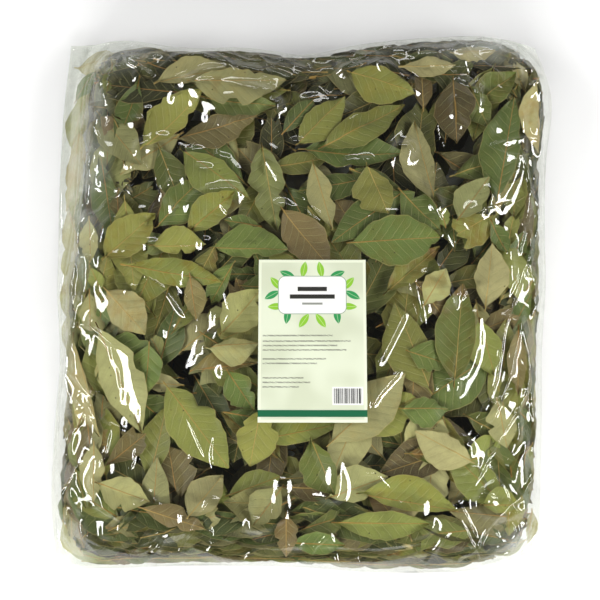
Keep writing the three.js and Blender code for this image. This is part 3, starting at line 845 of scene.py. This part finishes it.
# Loose leaves: mean, spread, least and most of the length in millimetres; mean and spread of the width as
# shares of the length, and its least and most in millimetres; share of each tone; spread of brightness
LEAF_LENGTH = (63, 18, 24, 92)
LEAF_WIDTH = (0.42, 0.07, 15, 42)
TONE_SHARES = (0.36, 0.36, 0.17, 0.11)
SHADE_SPREAD = 1.4
# Painted shade, in steps of brightness: of the leaves underneath, and from the first to the last leaf at
# the walls and on top, so that the deeper leaves look shaded; leaves at the ends are darker, as if in shade,
# and all are darker over a range of Y towards the mouth, where less light falls
UNDER_SHADE = -3.5
WALL_SHADE = (-5.0, -0.5)
TOP_SHADE = (-7.0, 0.5)
END_PAINTED_SHADE = 4.2
MOUTH_PAINTED_SHADE = 3.4
MOUTH_RANGE = (20, 120)
# Leaves stay inside the film by this share of fullness, and above its back by these gaps in millimetres
WALL_MARGIN = 0.1
WALL_GAP = 1.2
UNDER_GAP = 1.5
# Heap under the loose top leaves, in millimetres: its height, its crown over the bag's, its fall at the walls
HEAP_TOP = 38
HEAP_CROWN = 2.4
HEAP_FALL = 16
# Leaves on top: tries to place one, reach from the middle, and the share of a blade's points that clear what
# is under them before the others bend to it, for a loose leaf and for a leaf of the tables
TOP_TRIES = 12
TOP_REACH = 0.97
TOP_PRESS = 0.8
FACE_PRESS = 0.85
# Leaves underneath: reach from the middle, height of the lowest, rise of the layers, tilt
UNDER_REACH = 0.9
UNDER_LOW = 1.6
UNDER_RISE = 4.5
UNDER_TILT = 0.012
# Leaves at the walls: heights, lean, turn from the wall's own heading at the sides and at the ends, and the
# shares of the way to the wall that are tried, the outermost first
WALL_HEIGHTS = (4.0, 52.0)
WALL_LEAN = 0.07
WALL_TURN = 0.5
END_TURN = 0.2
WALL_REACHES = np.arange(1.0, 0.62, -0.006)
# Step that spreads leaves evenly round the walls
GOLDEN = 0.6180339
# Leaves between the films of a seam: step between layers, and gap to the film's rim
SLACK_LAYER = 0.3
RIM_GAP = 2.4
# Row of narrow leaves in the seam of the closed end: how many, from and to which share across, half lengths
# as shares, widths and distance from the rim in millimetres, brightness and tones
END_ROW = 34
END_ROW_SPAN = (-0.8, 0.74)
END_ROW_HALVES = (0.06, 0.1)
END_ROW_WIDTHS = (6, 8.4)
END_ROW_INSET = 6.6
# The end row's brightness is painted shade: these leaves in the end seam are darker, as if in shade
END_ROW_SHADE = -3.0
END_ROW_TONES = ("green", "olive", "brown")
SHARP_EDGE = math.radians(50)
PILE = HeightField()


def leaf_material(tone):
    """The material of one tone of leaf, made once."""
    name = f"Dried bay leaf, {tone}"
    found = bpy.data.materials.get(name)
    settings = bpy.context.scene.bay_leaf
    return found or dried_bay_leaf(name, tuple(getattr(settings, tone)), settings)


def drawn_size(rng, scale, mean, spread, least, most):
    """A random size about a mean, kept between two limits."""
    return float(np.clip(scale * rng.normal(mean, spread), least, most))


def random_blade(rng, stations, across, curl, brightness):
    """A loose leaf of random size and tone."""
    length = drawn_size(rng, 1, *LEAF_LENGTH)
    width = drawn_size(rng, length, *LEAF_WIDTH)
    tone = rng.choice(TONES, p=TONE_SHARES)
    shade = rng.normal(brightness, SHADE_SPREAD)
    return Blade(rng, length, width, tone, shade, stations, across, curl)


def mouth_shade(y):
    """Steps of painted shade that a loose leaf takes towards the mouth, where less light falls."""
    return MOUTH_PAINTED_SHADE * smooth(y, *MOUTH_RANGE)


def tabled_blade(rng, row, curl):
    """A leaf of the tables, and its middle and heading."""
    stalk_x, stalk_y, tip_x, tip_y, width, tone, shade = row
    run_x, run_y = tip_x - stalk_x, tip_y - stalk_y
    length = math.hypot(run_x, run_y)
    blade = Blade(rng, length, width, tone, shade, FACE_STATIONS, FACE_ACROSS, curl, whole=True)
    return blade, ((stalk_x + tip_x) / 2, (stalk_y + tip_y) / 2, math.atan2(run_y, run_x))


def drawn_leaf(rng, row, curl, thickness):
    """A leaf of the tables, laid on the heap."""
    blade, place = tabled_blade(rng, row, curl)
    placed = rest_on(PILE, blade, *place, FACE_PRESS)
    lay(PILE, placed, thickness)
    return blade, placed


class BAY_OT_leaf_heap(bpy.types.Operator):
    """Stacks the loose leaves: against the bag's walls, on its back, and over the heap"""

    bl_idname = "bay.leaf_heap"
    bl_label = "Loose Leaves"

    def execute(self, context):
        settings = context.scene.bay_leaf
        rng = np.random.default_rng(SEED)
        curl = settings.curl / MM
        thickness = settings.thickness / MM
        groups = {
            "under": self.under_leaves(rng, settings.under_count, curl),
            "wall": self.wall_leaves(rng, settings.wall_count, curl),
            "top": self.top_leaves(rng, settings.top_count, curl, thickness),
        }
        for _, placed in groups["wall"]:
            lay(PILE, placed, thickness)
        groups["edge"] = [drawn_leaf(rng, row, 0.6 * curl, thickness) for row in EDGE_LEAVES]
        groups["slack"] = [self.slack_leaf(rng, *item) for item in enumerate(SLACK_LEAVES)]
        groups["end"] = [self.slack_leaf(rng, *item) for item in enumerate(self.end_rows(rng))]
        for zone, laid in groups.items():
            for tone in TONES:
                solids = [leaf_solid(*leaf, thickness) for leaf in laid if leaf[0].tone == tone]
                if not solids:
                    continue
                piece = mesh_object(f"heap_{zone}_{tone}", *joined(solids), SHARP_EDGE)
                finish_piece(piece, leaf_material(tone), f"leaf_{tone}", "leaf_heap")
        return {"FINISHED"}

    def slack_leaf(self, rng, number, row):
        """A leaf between the two films of a seam, moved in where it would reach past the film's rim."""
        blade, place = tabled_blade(rng, row, 0)
        px, py = blade.turned(*place)
        left, right = (along(side, py / HALF_LENGTH) for side in (LEFT_SIDE, RIGHT_SIDE))
        share = (2 * px - left - right) / (right - left)
        low, high = (along(end, share) for end in (CLOSED_END, MOUTH_END))
        px = px + max(0, (left + RIM_GAP - px).max()) - max(0, (px + RIM_GAP - right).max())
        py = py + max(0, (low + RIM_GAP - py).max()) - max(0, (py + RIM_GAP - high).max())
        layer = SLACK_LAYER * (number % 4 - 1.5)
        return blade, (px, py, seam(px, py) + layer + np.clip(0.1 * blade.lift, -0.1, 0.1))

    def end_rows(self, rng):
        """Rows for narrow leaves pressed into the seam of the closed end."""
        rows = []
        for number in range(END_ROW):
            middle = mix(*END_ROW_SPAN, number / (END_ROW - 1))
            half = rng.uniform(*END_ROW_HALVES)
            ends = (middle - half, middle + half)[:: rng.choice((-1, 1))]
            points = [(x, y + END_ROW_INSET) for x, y in (film_place(u, -1) for u in ends)]
            width = rng.uniform(*END_ROW_WIDTHS)
            tone = END_ROW_TONES[number % len(END_ROW_TONES)]
            rows.append((*points[0], *points[1], width, tone, END_ROW_SHADE))
        return rows

    def under_leaves(self, rng, count, curl):
        """Leaves in flat layers on the bag's back."""
        laid = []
        for number in range(count):
            # Painted shade: the leaves underneath are darker, as if in the heap's shadow
            blade = random_blade(rng, WALL_STATIONS, WALL_ACROSS, 0.3 * curl, UNDER_SHADE)
            x, y = filled_place(*rng.uniform(-UNDER_REACH, UNDER_REACH, 2))
            px, py = blade.turned(x, y, rng.uniform(0, 2 * math.pi))
            low = UNDER_LOW + UNDER_RISE * number / count
            tilt = rng.normal(0, UNDER_TILT) * (px - x) + rng.normal(0, UNDER_TILT) * (py - y)
            z = np.maximum(under_skin(px, py) + UNDER_GAP, low + tilt + blade.lift - blade.lift.min())
            if inside_bag(px, py, z, WALL_MARGIN).all():
                laid.append((blade, (px, py, z)))
        return laid

    def wall_leaves(self, rng, count, curl):
        """Leaves stacked round the walls from the lowest up, each as far out as it fits."""
        laid = []
        for number in range(count):
            # Painted shade: the lower wall leaves, laid first, are darker
            brightness = mix(*WALL_SHADE, number / count)
            blade = random_blade(rng, WALL_STATIONS, WALL_ACROSS, curl, brightness)
            lap = 4 * ((number * GOLDEN + rng.uniform(0, 0.01)) % 1)
            across, up = wall_place(lap, 1)
            height = mix(*WALL_HEIGHTS, number / count)
            at_end = int(lap) % 2
            # Painted shade: leaves at the end walls are darker, as if in shade
            blade.shade -= END_PAINTED_SHADE * at_end
            heading = math.pi * (0.5 * (1 - at_end) + rng.integers(2))
            heading += rng.normal(0, END_TURN if at_end else WALL_TURN)
            lean = rng.normal(0, WALL_LEAN, 2)
            for reach in WALL_REACHES:
                x, y = filled_place(reach * across, reach * up)
                px, py = blade.turned(x, y, heading)
                z = height + blade.lift + lean[0] * (px - x) + lean[1] * (py - y)
                if inside_bag(px, py, z, WALL_MARGIN).all() and (z > under_skin(px, py) + WALL_GAP).all():
                    # Painted shade: darker towards the mouth, where less light falls
                    blade.shade -= mouth_shade(y)
                    laid.append((blade, (px, py, z)))
                    break
        return laid

    def top_leaves(self, rng, count, curl, thickness):
        """Leaves dropped on the heap one after another."""
        limit = SEAM_HEIGHT + (FILM_TOP - SEAM_HEIGHT) * rise(fullness(PILE.x, PILE.y) - WALL_MARGIN)
        PILE.z = np.minimum(HEAP_TOP + HEAP_CROWN * crown(PILE.x, PILE.y), limit - HEAP_FALL)
        laid = []
        for number in range(count):
            # Painted shade: the first laid, deepest leaves on top are darker
            brightness = mix(*TOP_SHADE, number / count)
            blade = random_blade(rng, LOOSE_STATIONS, LOOSE_ACROSS, curl, brightness)
            for _ in range(TOP_TRIES):
                x, y = filled_place(*rng.uniform(-TOP_REACH, TOP_REACH, 2))
                placed = rest_on(PILE, blade, x, y, rng.uniform(0, 2 * math.pi), TOP_PRESS)
                if inside_bag(*placed, WALL_MARGIN).all():
                    # Painted shade: darker towards the mouth, where less light falls
                    blade.shade -= mouth_shade(y)
                    lay(PILE, placed, thickness)
                    laid.append((blade, placed))
                    break
        return laid


class BAY_OT_face_leaves(bpy.types.Operator):
    """Lays the leaves that show on the bag's face, each where its solid is"""

    bl_idname = "bay.face_leaves"
    bl_label = "Face Leaves"

    def execute(self, context):
        settings = context.scene.bay_leaf
        rng = np.random.default_rng(SEED + 1)
        thickness = settings.thickness / MM
        for number, row in enumerate(FACE_LEAVES, 1):
            blade, placed = drawn_leaf(rng, row, 0.8 * settings.curl / MM, thickness)
            name = f"leaf_{number:02d}"
            piece = mesh_object(f"bay_{name}", *leaf_solid(blade, placed, thickness), SHARP_EDGE)
            finish_piece(piece, leaf_material(blade.tone), f"leaf_{blade.tone}", name)
        return {"FINISHED"}


# Steps of the film's face across and along, and how many of them one step of its back spans
FILM_U = 480
FILM_V = 528
BACK_STEP = 6
# How far the steps crowd towards the rim, as an angle
RIM_CROWDING = 0.55 * math.pi / 2
# Rounds of draping, each with its grid step, and how far the film sags in each, in millimetres
DRAPE_ROUNDS = ((4, 120), (2, 90), (1, 40))
FILM_WEIGHT = 0.02
# Short folds: how far they draw to the sides, reach, lengths in millimetres, spread of the bend, and the
# least half width with what is added to it at most
SMALL_FOLD_DRAW = 0.8
SMALL_FOLD_REACH = 0.97
SMALL_FOLD_LENGTHS = (8, 42)
SMALL_FOLD_BEND = 0.2
SMALL_FOLD_HALF = 1.4
SMALL_FOLD_WIDER = 2.6
# Folds at the shoulders: how many, reach along the walls, spread of the drift, depths on to the face as
# shares, and half widths in millimetres
SHOULDER_FOLDS = 54
SHOULDER_REACH = 0.95
SHOULDER_DRIFT = 0.05
SHOULDER_DEPTHS = (0.06, 0.24)
SHOULDER_HALVES = (1.8, 4.5)
# Fall of the film away from the label, and over what distance, in millimetres
LABEL_FALL = 16
LABEL_SPREAD = 120
# How far scattered folds are bent, in millimetres and over how many grid cells, and how round a fold is
WARP = 4.0
WARP_CELLS = 16
FOLD_ROUNDING = 1.35
# Share of a fold's length over which it dies out at each end
FOLD_ENDS = 1 / 6
# Ripple of the film's back, in millimetres and in grid cells, and the share of the rim where the films meet
BACK_RIPPLE = 0.25
BACK_RIPPLE_CELLS = 40
RIM_CLOSING = 0.012
LEAST_OPEN = 0.5
# Fullness above which the film rests on the leaves, above which it drapes, and below which it has no folds
PILE_LIMIT = 0.02
DRAPE_LIMIT = -0.15
FOLD_LIMIT = -0.6
# Film under the label, in millimetres: its depth, and how far past the label it is level and has no folds
LABEL_DEPTH = 0.3
LABEL_LEVEL = 1.5
LABEL_SMOOTH = 5
# Grid steps over which the draped film is evened out
BLUR = 5
# Milky places: share of their reach that is full, even and streaked shares of the milk, cells of the streaks
MILK_CORE = 0.2
MILK_EVEN = 0.75
MILK_STREAKED = 0.6
STREAK_CELLS = (9, 24)


def noise_grid(rng, shape, cell):
    """Smooth random values from -1 to 1 over a grid, with hills about a cell apart."""
    counts = [int(math.ceil(size / cell)) + 3 for size in shape]
    knots = rng.uniform(-1, 1, counts)
    axes = [np.arange(size) / cell for size in shape]
    for axis, place in enumerate(axes):
        start = place.astype(int)
        share = smooth(place - start, 0, 1)
        share = share[:, None] if axis == 0 else share[None, :]
        knots = mix(np.take(knots, start, axis), np.take(knots, start + 1, axis), share)
    return knots


def crowded(count):
    """Steps from -1 to 1 that lie closer together towards both ends."""
    return np.sin(np.linspace(-1, 1, count + 1) * RIM_CROWDING) / math.sin(RIM_CROWDING)


def fold_height(half, path, x, y):
    """Height, as a share, of a sharp fold along a path that dies out at both ends."""
    lengths = [math.dist(a, b) for a, b in zip(path[:-1], path[1:])]
    nearest = np.full(x.shape, 1e9)
    run = np.zeros(x.shape)
    passed = 0.0
    for (ax, ay), (bx, by), length in zip(path[:-1], path[1:], lengths):
        t = np.clip(((x - ax) * (bx - ax) + (y - ay) * (by - ay)) / length**2, 0, 1)
        far = np.hypot(x - mix(ax, bx, t), y - mix(ay, by, t))
        run = np.where(far < nearest, (passed + t * length) / sum(lengths), run)
        nearest = np.minimum(nearest, far)
        passed += length
    across = np.clip(1 - nearest / half, 0, 1) ** FOLD_ROUNDING
    return across * np.sqrt(np.clip(np.minimum(run, 1 - run) / FOLD_ENDS, 0, 1))


class BAY_OT_film_bag(bpy.types.Operator):
    """Drapes the film over the leaves, with its folds, its slack sides and its back"""

    bl_idname = "bay.film_bag"
    bl_label = "Film Bag"

    def execute(self, context):
        settings = context.scene.bay_film
        rng = np.random.default_rng(SEED + 2)
        u, v = (crowded(count) for count in (FILM_U, FILM_V))
        grid_u, grid_v = np.meshgrid(u, v, indexing="ij")
        x, y = film_place(grid_u, grid_v)
        top = self.face(settings, rng, x, y)
        ripple = BACK_RIPPLE * (noise_grid(rng, x.shape, BACK_RIPPLE_CELLS) + 1)
        back = np.maximum(0, under_skin(x, y) - HALF_FIN) + ripple * rise(fullness(x, y))
        edge = np.minimum(np.minimum(1 + grid_u, 1 - grid_u), np.minimum(1 + grid_v, 1 - grid_v))
        closed = smooth(edge, 0, RIM_CLOSING)
        middle = (top + back) / 2
        top = mix(middle, np.maximum(top, back + LEAST_OPEN), closed)
        back = mix(middle, np.minimum(back, top), closed)
        milk = self.milk(settings, rng, x, y)
        points, faces, milk = self.pillow(x, y, top, back, milk)
        attributes = {"film_milk": np.stack([milk, milk, milk], 1)}
        piece = mesh_object("clear_film", points, faces, attributes)
        finish_piece(piece, clear_polypropylene_film(), "clear_film", "bag_film")
        return {"FINISHED"}

    def face(self, settings, rng, x, y):
        """Height of the film's face: a taut sheet over the leaves, with sharp folds."""
        full = fullness(x, y)
        ground = np.where(full > PILE_LIMIT, PILE.at(x, y) + settings.clearance / MM, 0)
        low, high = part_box("label")
        beside_x = np.maximum(low.x / MM - x, x - high.x / MM)
        beside_y = np.maximum(low.y / MM - y, y - high.y / MM)
        beside = np.hypot(np.maximum(beside_x, 0), np.maximum(beside_y, 0))
        mound = low.z / MM - LABEL_DEPTH - LABEL_FALL * smooth(beside, LABEL_LEVEL, LABEL_SPREAD)
        ground = np.where(beside < LABEL_SPREAD, np.maximum(ground, mound), ground)
        fixed = seam(x, y) + HALF_FIN
        z = np.where(full > 0, np.maximum(top_skin(x, y), ground), fixed)
        for step, rounds in DRAPE_ROUNDS:
            part = z[::step, ::step]
            part_ground, part_fixed, part_full = (grid[::step, ::step] for grid in (ground, fixed, full))
            for _ in range(rounds):
                sagged = np.maximum(evened(part) - FILM_WEIGHT * step, part_ground)
                part = np.where(part_full > DRAPE_LIMIT, sagged, part_fixed)
            z = denser(part, step) if step > 1 else part
        ends = np.pad(z, BLUR // 2, mode="edge")
        shifts = [(i, j) for i in range(BLUR) for j in range(BLUR)]
        z = sum(ends[i : i + z.shape[0], j : j + z.shape[1]] for i, j in shifts) / BLUR**2
        slack = np.zeros_like(z)
        bent_x = x + WARP * noise_grid(rng, x.shape, WARP_CELLS)
        bent_y = y + WARP * noise_grid(rng, x.shape, WARP_CELLS)
        scattered = self.small_folds(rng, settings.fold_count) + self.shoulder_folds(rng)
        for shift_x, shift_y, folds in ((x, y, FOLDS), (bent_x, bent_y, scattered)):
            for half, *path in folds:
                px, py = zip(*path)
                near = (shift_x > min(px) - half) & (shift_x < max(px) + half)
                near &= (shift_y > min(py) - half) & (shift_y < max(py) + half)
                height = settings.steepness * half * fold_height(half, path, shift_x[near], shift_y[near])
                slack[near] = np.maximum(slack[near], height)
        return z + slack * smooth(beside, 0, LABEL_SMOOTH) * smooth(full, FOLD_LIMIT, 0)

    def small_folds(self, rng, count):
        """Short bent folds, more of them near the bag's sides."""
        folds = []
        for _ in range(count):
            u, v = (math.copysign(abs(t) ** SMALL_FOLD_DRAW, t) for t in rng.uniform(-1, 1, 2))
            x, y = filled_place(SMALL_FOLD_REACH * u, SMALL_FOLD_REACH * v)
            heading = rng.uniform(0, math.pi)
            length = rng.uniform(*SMALL_FOLD_LENGTHS)
            bend = rng.normal(0, SMALL_FOLD_BEND)
            half = SMALL_FOLD_HALF + SMALL_FOLD_WIDER * rng.random() ** 2
            dx, dy = math.cos(heading) * length / 2, math.sin(heading) * length / 2
            folds.append((half, (x - dx, y - dy), (x - bend * dy, y + bend * dx), (x + dx, y + dy)))
        return folds

    def shoulder_folds(self, rng):
        """Folds that run from the bag's sides up on to its face."""
        folds = []
        for number in range(SHOULDER_FOLDS):
            lap = 4 * (number + rng.random()) / SHOULDER_FOLDS
            across, up = wall_place(lap, SHOULDER_REACH)
            drift = rng.normal(0, SHOULDER_DRIFT)
            inner = 1 - rng.uniform(*SHOULDER_DEPTHS)
            path = []
            for reach, sway in ((1, 0), (mix(inner, 1, 0.5), drift), (inner, 3 * drift)):
                path.append(filled_place(reach * across + sway * up, reach * up - sway * across))
            folds.append((rng.uniform(*SHOULDER_HALVES), *path))
        return folds

    def milk(self, settings, rng, x, y):
        """Share of milk in the film, streaked where it is slack."""
        share = np.zeros_like(x)
        for cx, cy, half_x, half_y, most in MILKY:
            out = np.hypot((x - cx) / half_x, (y - cy) / half_y)
            share = np.maximum(share, most * smooth(out, 1, MILK_CORE))
        streaks = sum(noise_grid(rng, x.shape, cells) for cells in STREAK_CELLS) / len(STREAK_CELLS)
        return np.clip(settings.haze + share * (MILK_EVEN + MILK_STREAKED * streaks), 0, 1)

    def pillow(self, x, y, top, back, milk):
        """Closed sheet: a fine grid above, and a coarser one below that shares its rim."""
        rows, cols = x.shape
        at = np.arange(rows * cols).reshape(rows, cols)
        points = np.stack([x, y, top], 2).reshape(-1, 3).tolist()
        milk_of = milk.ravel().tolist()
        faces = np.stack([at[:-1, :-1], at[1:, :-1], at[1:, 1:], at[:-1, 1:]], 2).reshape(-1, 4).tolist()
        coarse = {}
        for i in range(0, rows, BACK_STEP):
            for j in range(0, cols, BACK_STEP):
                if i in (0, rows - 1) or j in (0, cols - 1):
                    coarse[i, j] = int(at[i, j])
                else:
                    coarse[i, j] = len(points)
                    points.append((x[i, j], y[i, j], back[i, j]))
                    milk_of.append(milk[i, j])
        for i in range(0, rows - 1, BACK_STEP):
            for j in range(0, cols - 1, BACK_STEP):
                right, up = i + BACK_STEP, j + BACK_STEP
                loop = self.side(at, coarse, (i, j), (i, up), i == 0)
                loop += self.side(at, coarse, (i, up), (right, up), up == cols - 1)
                loop += self.side(at, coarse, (right, up), (right, j), right == rows - 1)
                loop += self.side(at, coarse, (right, j), (i, j), j == 0)
                faces.append(loop)
        return points, faces, np.array(milk_of)

    def side(self, at, coarse, start, end, on_rim):
        """Points along one side of a coarse face but its last, or every rim point where it is on the rim."""
        if not on_rim:
            return [coarse[start]]
        step_i, step_j = (int(np.sign(b - a)) for a, b in zip(start, end))
        return [int(at[start[0] + k * step_i, start[1] + k * step_j]) for k in range(BACK_STEP)]


# Height in millimetres of the paper's face over the underside of the solid label
LABEL_RISE = 0.9
# Steps of the paper across and along
LABEL_STEPS = (40, 60)


class BAY_OT_paper_label(bpy.types.Operator):
    """Sticks the paper label to the film's face"""

    bl_idname = "bay.paper_label"
    bl_label = "Paper Label"

    def execute(self, context):
        settings = context.scene.bay_label
        low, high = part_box("label")
        centre = (low + high) / 2 / MM
        size = (high - low) / MM
        u, v = (np.linspace(-0.5, 0.5, steps + 1) for steps in LABEL_STEPS)
        grid_u, grid_v = np.meshgrid(u, v, indexing="ij")
        dx, dy = grid_u * size.x, grid_v * size.y
        bow = 0.3 * np.sin(dx / 23 + 0.7) * np.cos(dy / 31) + 0.21 * np.sin(dy / 17 + dx / 40)
        top = np.stack([centre.x + dx, centre.y + dy, low.z / MM + LABEL_RISE + bow], 2).reshape(-1, 3)
        points = np.concatenate([top, top - [0, 0, settings.thickness / MM]])
        flat = np.stack([dx, dy, np.zeros_like(dx)], 2).reshape(-1, 3)
        attributes = {"label_mm": np.concatenate([flat, flat])}
        piece = mesh_object("paper_label", points, sheet_faces(*dx.shape), attributes, SHARP_EDGE)
        finish_piece(piece, printed_label_paper(settings), "label_paper", "label")
        return {"FINISHED"}


# Softboxes: name, place in metres, width, height, power in watts, and whether gloss mirrors it
LIGHTS = (
    ("left_softbox", (-1.05, -0.08, 0.85), 1.1, 0.34, 12.6, True),
    ("right_softbox", (1.05, -0.14, 0.8), 1.1, 0.34, 13.4, True),
    ("front_softbox", (0.0, -1.25, 0.75), 1.0, 0.24, 17.5, False),
    ("back_softbox", (0.0, 1.25, 0.85), 0.9, 0.14, 1.9, True),
)
# Brightness of the studio walls at floor level and overhead, and the share of height where they are dim
SKY_LOW = 0.54
SKY_HIGH = 0.025
SKY_REACH = 0.6
# Floor, in metres: half its side, its gap under the bag, and where its glow starts and is full
FLOOR_REACH = 6.0
FLOOR_DROP = 0.0004
FLOOR_GLOW = 0.48
GLOW_REACH = (0.75, 1.5)
# Point that the camera looks at, in metres
CAMERA_AIM = (-0.006, -0.01, 0.03)


class BAY_OT_stage(bpy.types.Operator):
    """Sets the pale floor, the soft studio lights and the camera above the bag"""

    bl_idname = "bay.stage"
    bl_label = "Stage"

    def execute(self, context):
        settings = context.scene.bay_stage
        scene = context.scene
        mesh = bpy.data.meshes.new("floor")
        square = ((-1, -1), (1, -1), (1, 1), (-1, 1))
        corners = [(FLOOR_REACH * x, FLOOR_REACH * y, -FLOOR_DROP) for x, y in square]
        mesh.from_pydata(corners, [], [(0, 1, 2, 3)])
        mesh.materials.append(studio_floor(settings))
        floor = bpy.data.objects.new("floor", mesh)
        scene.collection.objects.link(floor)
        for name, place, width, height, power, mirrored in LIGHTS:
            lamp = bpy.data.lights.new(name, "AREA")
            lamp.shape = "RECTANGLE"
            lamp.size, lamp.size_y = width, height
            lamp.energy = power
            item = bpy.data.objects.new(name, lamp)
            item.location = place
            item.visible_glossy = mirrored
            item.rotation_euler = (-Vector(place)).to_track_quat("-Z", "Y").to_euler()
            scene.collection.objects.link(item)
        scene.world = self.sky()
        scene.view_settings.view_transform = "Standard"
        camera = bpy.data.cameras.new("camera")
        camera.lens = settings.lens
        eye = bpy.data.objects.new("camera", camera)
        back = Vector((0, -math.cos(settings.elevation), math.sin(settings.elevation)))
        eye.location = Vector(CAMERA_AIM) + settings.distance * back
        eye.rotation_euler = (-back).to_track_quat("-Z", "Y").to_euler()
        scene.collection.objects.link(eye)
        scene.camera = eye
        return {"FINISHED"}

    def sky(self):
        """White studio walls, dimmer overhead so that the film stays clear."""
        world = bpy.data.worlds.new("studio")
        world.use_nodes = True
        world.node_tree.nodes.clear()
        put = partial(add, world.node_tree)
        up = put("SeparateXYZ", put("TexCoord", out="Generated"), out="Z")
        strength = put("MapRange", up, 0.0, SKY_REACH, SKY_LOW, SKY_HIGH, **SOFT)
        put("OutputWorld", put("Background", Color=linear("#FFFFFF"), Strength=strength))
        return world


OPERATORS = (BAY_OT_leaf_heap, BAY_OT_face_leaves, BAY_OT_film_bag, BAY_OT_paper_label, BAY_OT_stage)
SETTINGS = {
    "bay_leaf": BayLeafSettings,
    "bay_label": BayLabelSettings,
    "bay_film": BayFilmSettings,
    "bay_stage": BayStageSettings,
}


class BAY_PT_panel(bpy.types.Panel):
    """Sidebar panel that lists the pieces"""

    bl_idname = "BAY_PT_panel"
    bl_label = "Bag of Bay Leaves"
    bl_space_type = "VIEW_3D"
    bl_region_type = "UI"
    bl_category = "Bay Leaves"

    def draw(self, context):
        for operator in OPERATORS:
            self.layout.operator(operator.bl_idname)
        for name, group in SETTINGS.items():
            box = self.layout.box()
            for prop in group.__annotations__:
                box.prop(getattr(context.scene, name), prop)


def register():
    for group in SETTINGS.values():
        bpy.utils.register_class(group)
    for name, group in SETTINGS.items():
        setattr(bpy.types.Scene, name, bpy.props.PointerProperty(type=group))
    for item in (*OPERATORS, BAY_PT_panel):
        bpy.utils.register_class(item)


def unregister():
    for item in (BAY_PT_panel, *reversed(OPERATORS)):
        bpy.utils.unregister_class(item)
    for name, group in SETTINGS.items():
        delattr(bpy.types.Scene, name)
        bpy.utils.unregister_class(group)


def main():
    register()
    bpy.ops.bay.leaf_heap()
    bpy.ops.bay.face_leaves()
    bpy.ops.bay.film_bag()
    bpy.ops.bay.paper_label()
    bpy.ops.bay.stage()


if __name__ == "__main__":
    main()
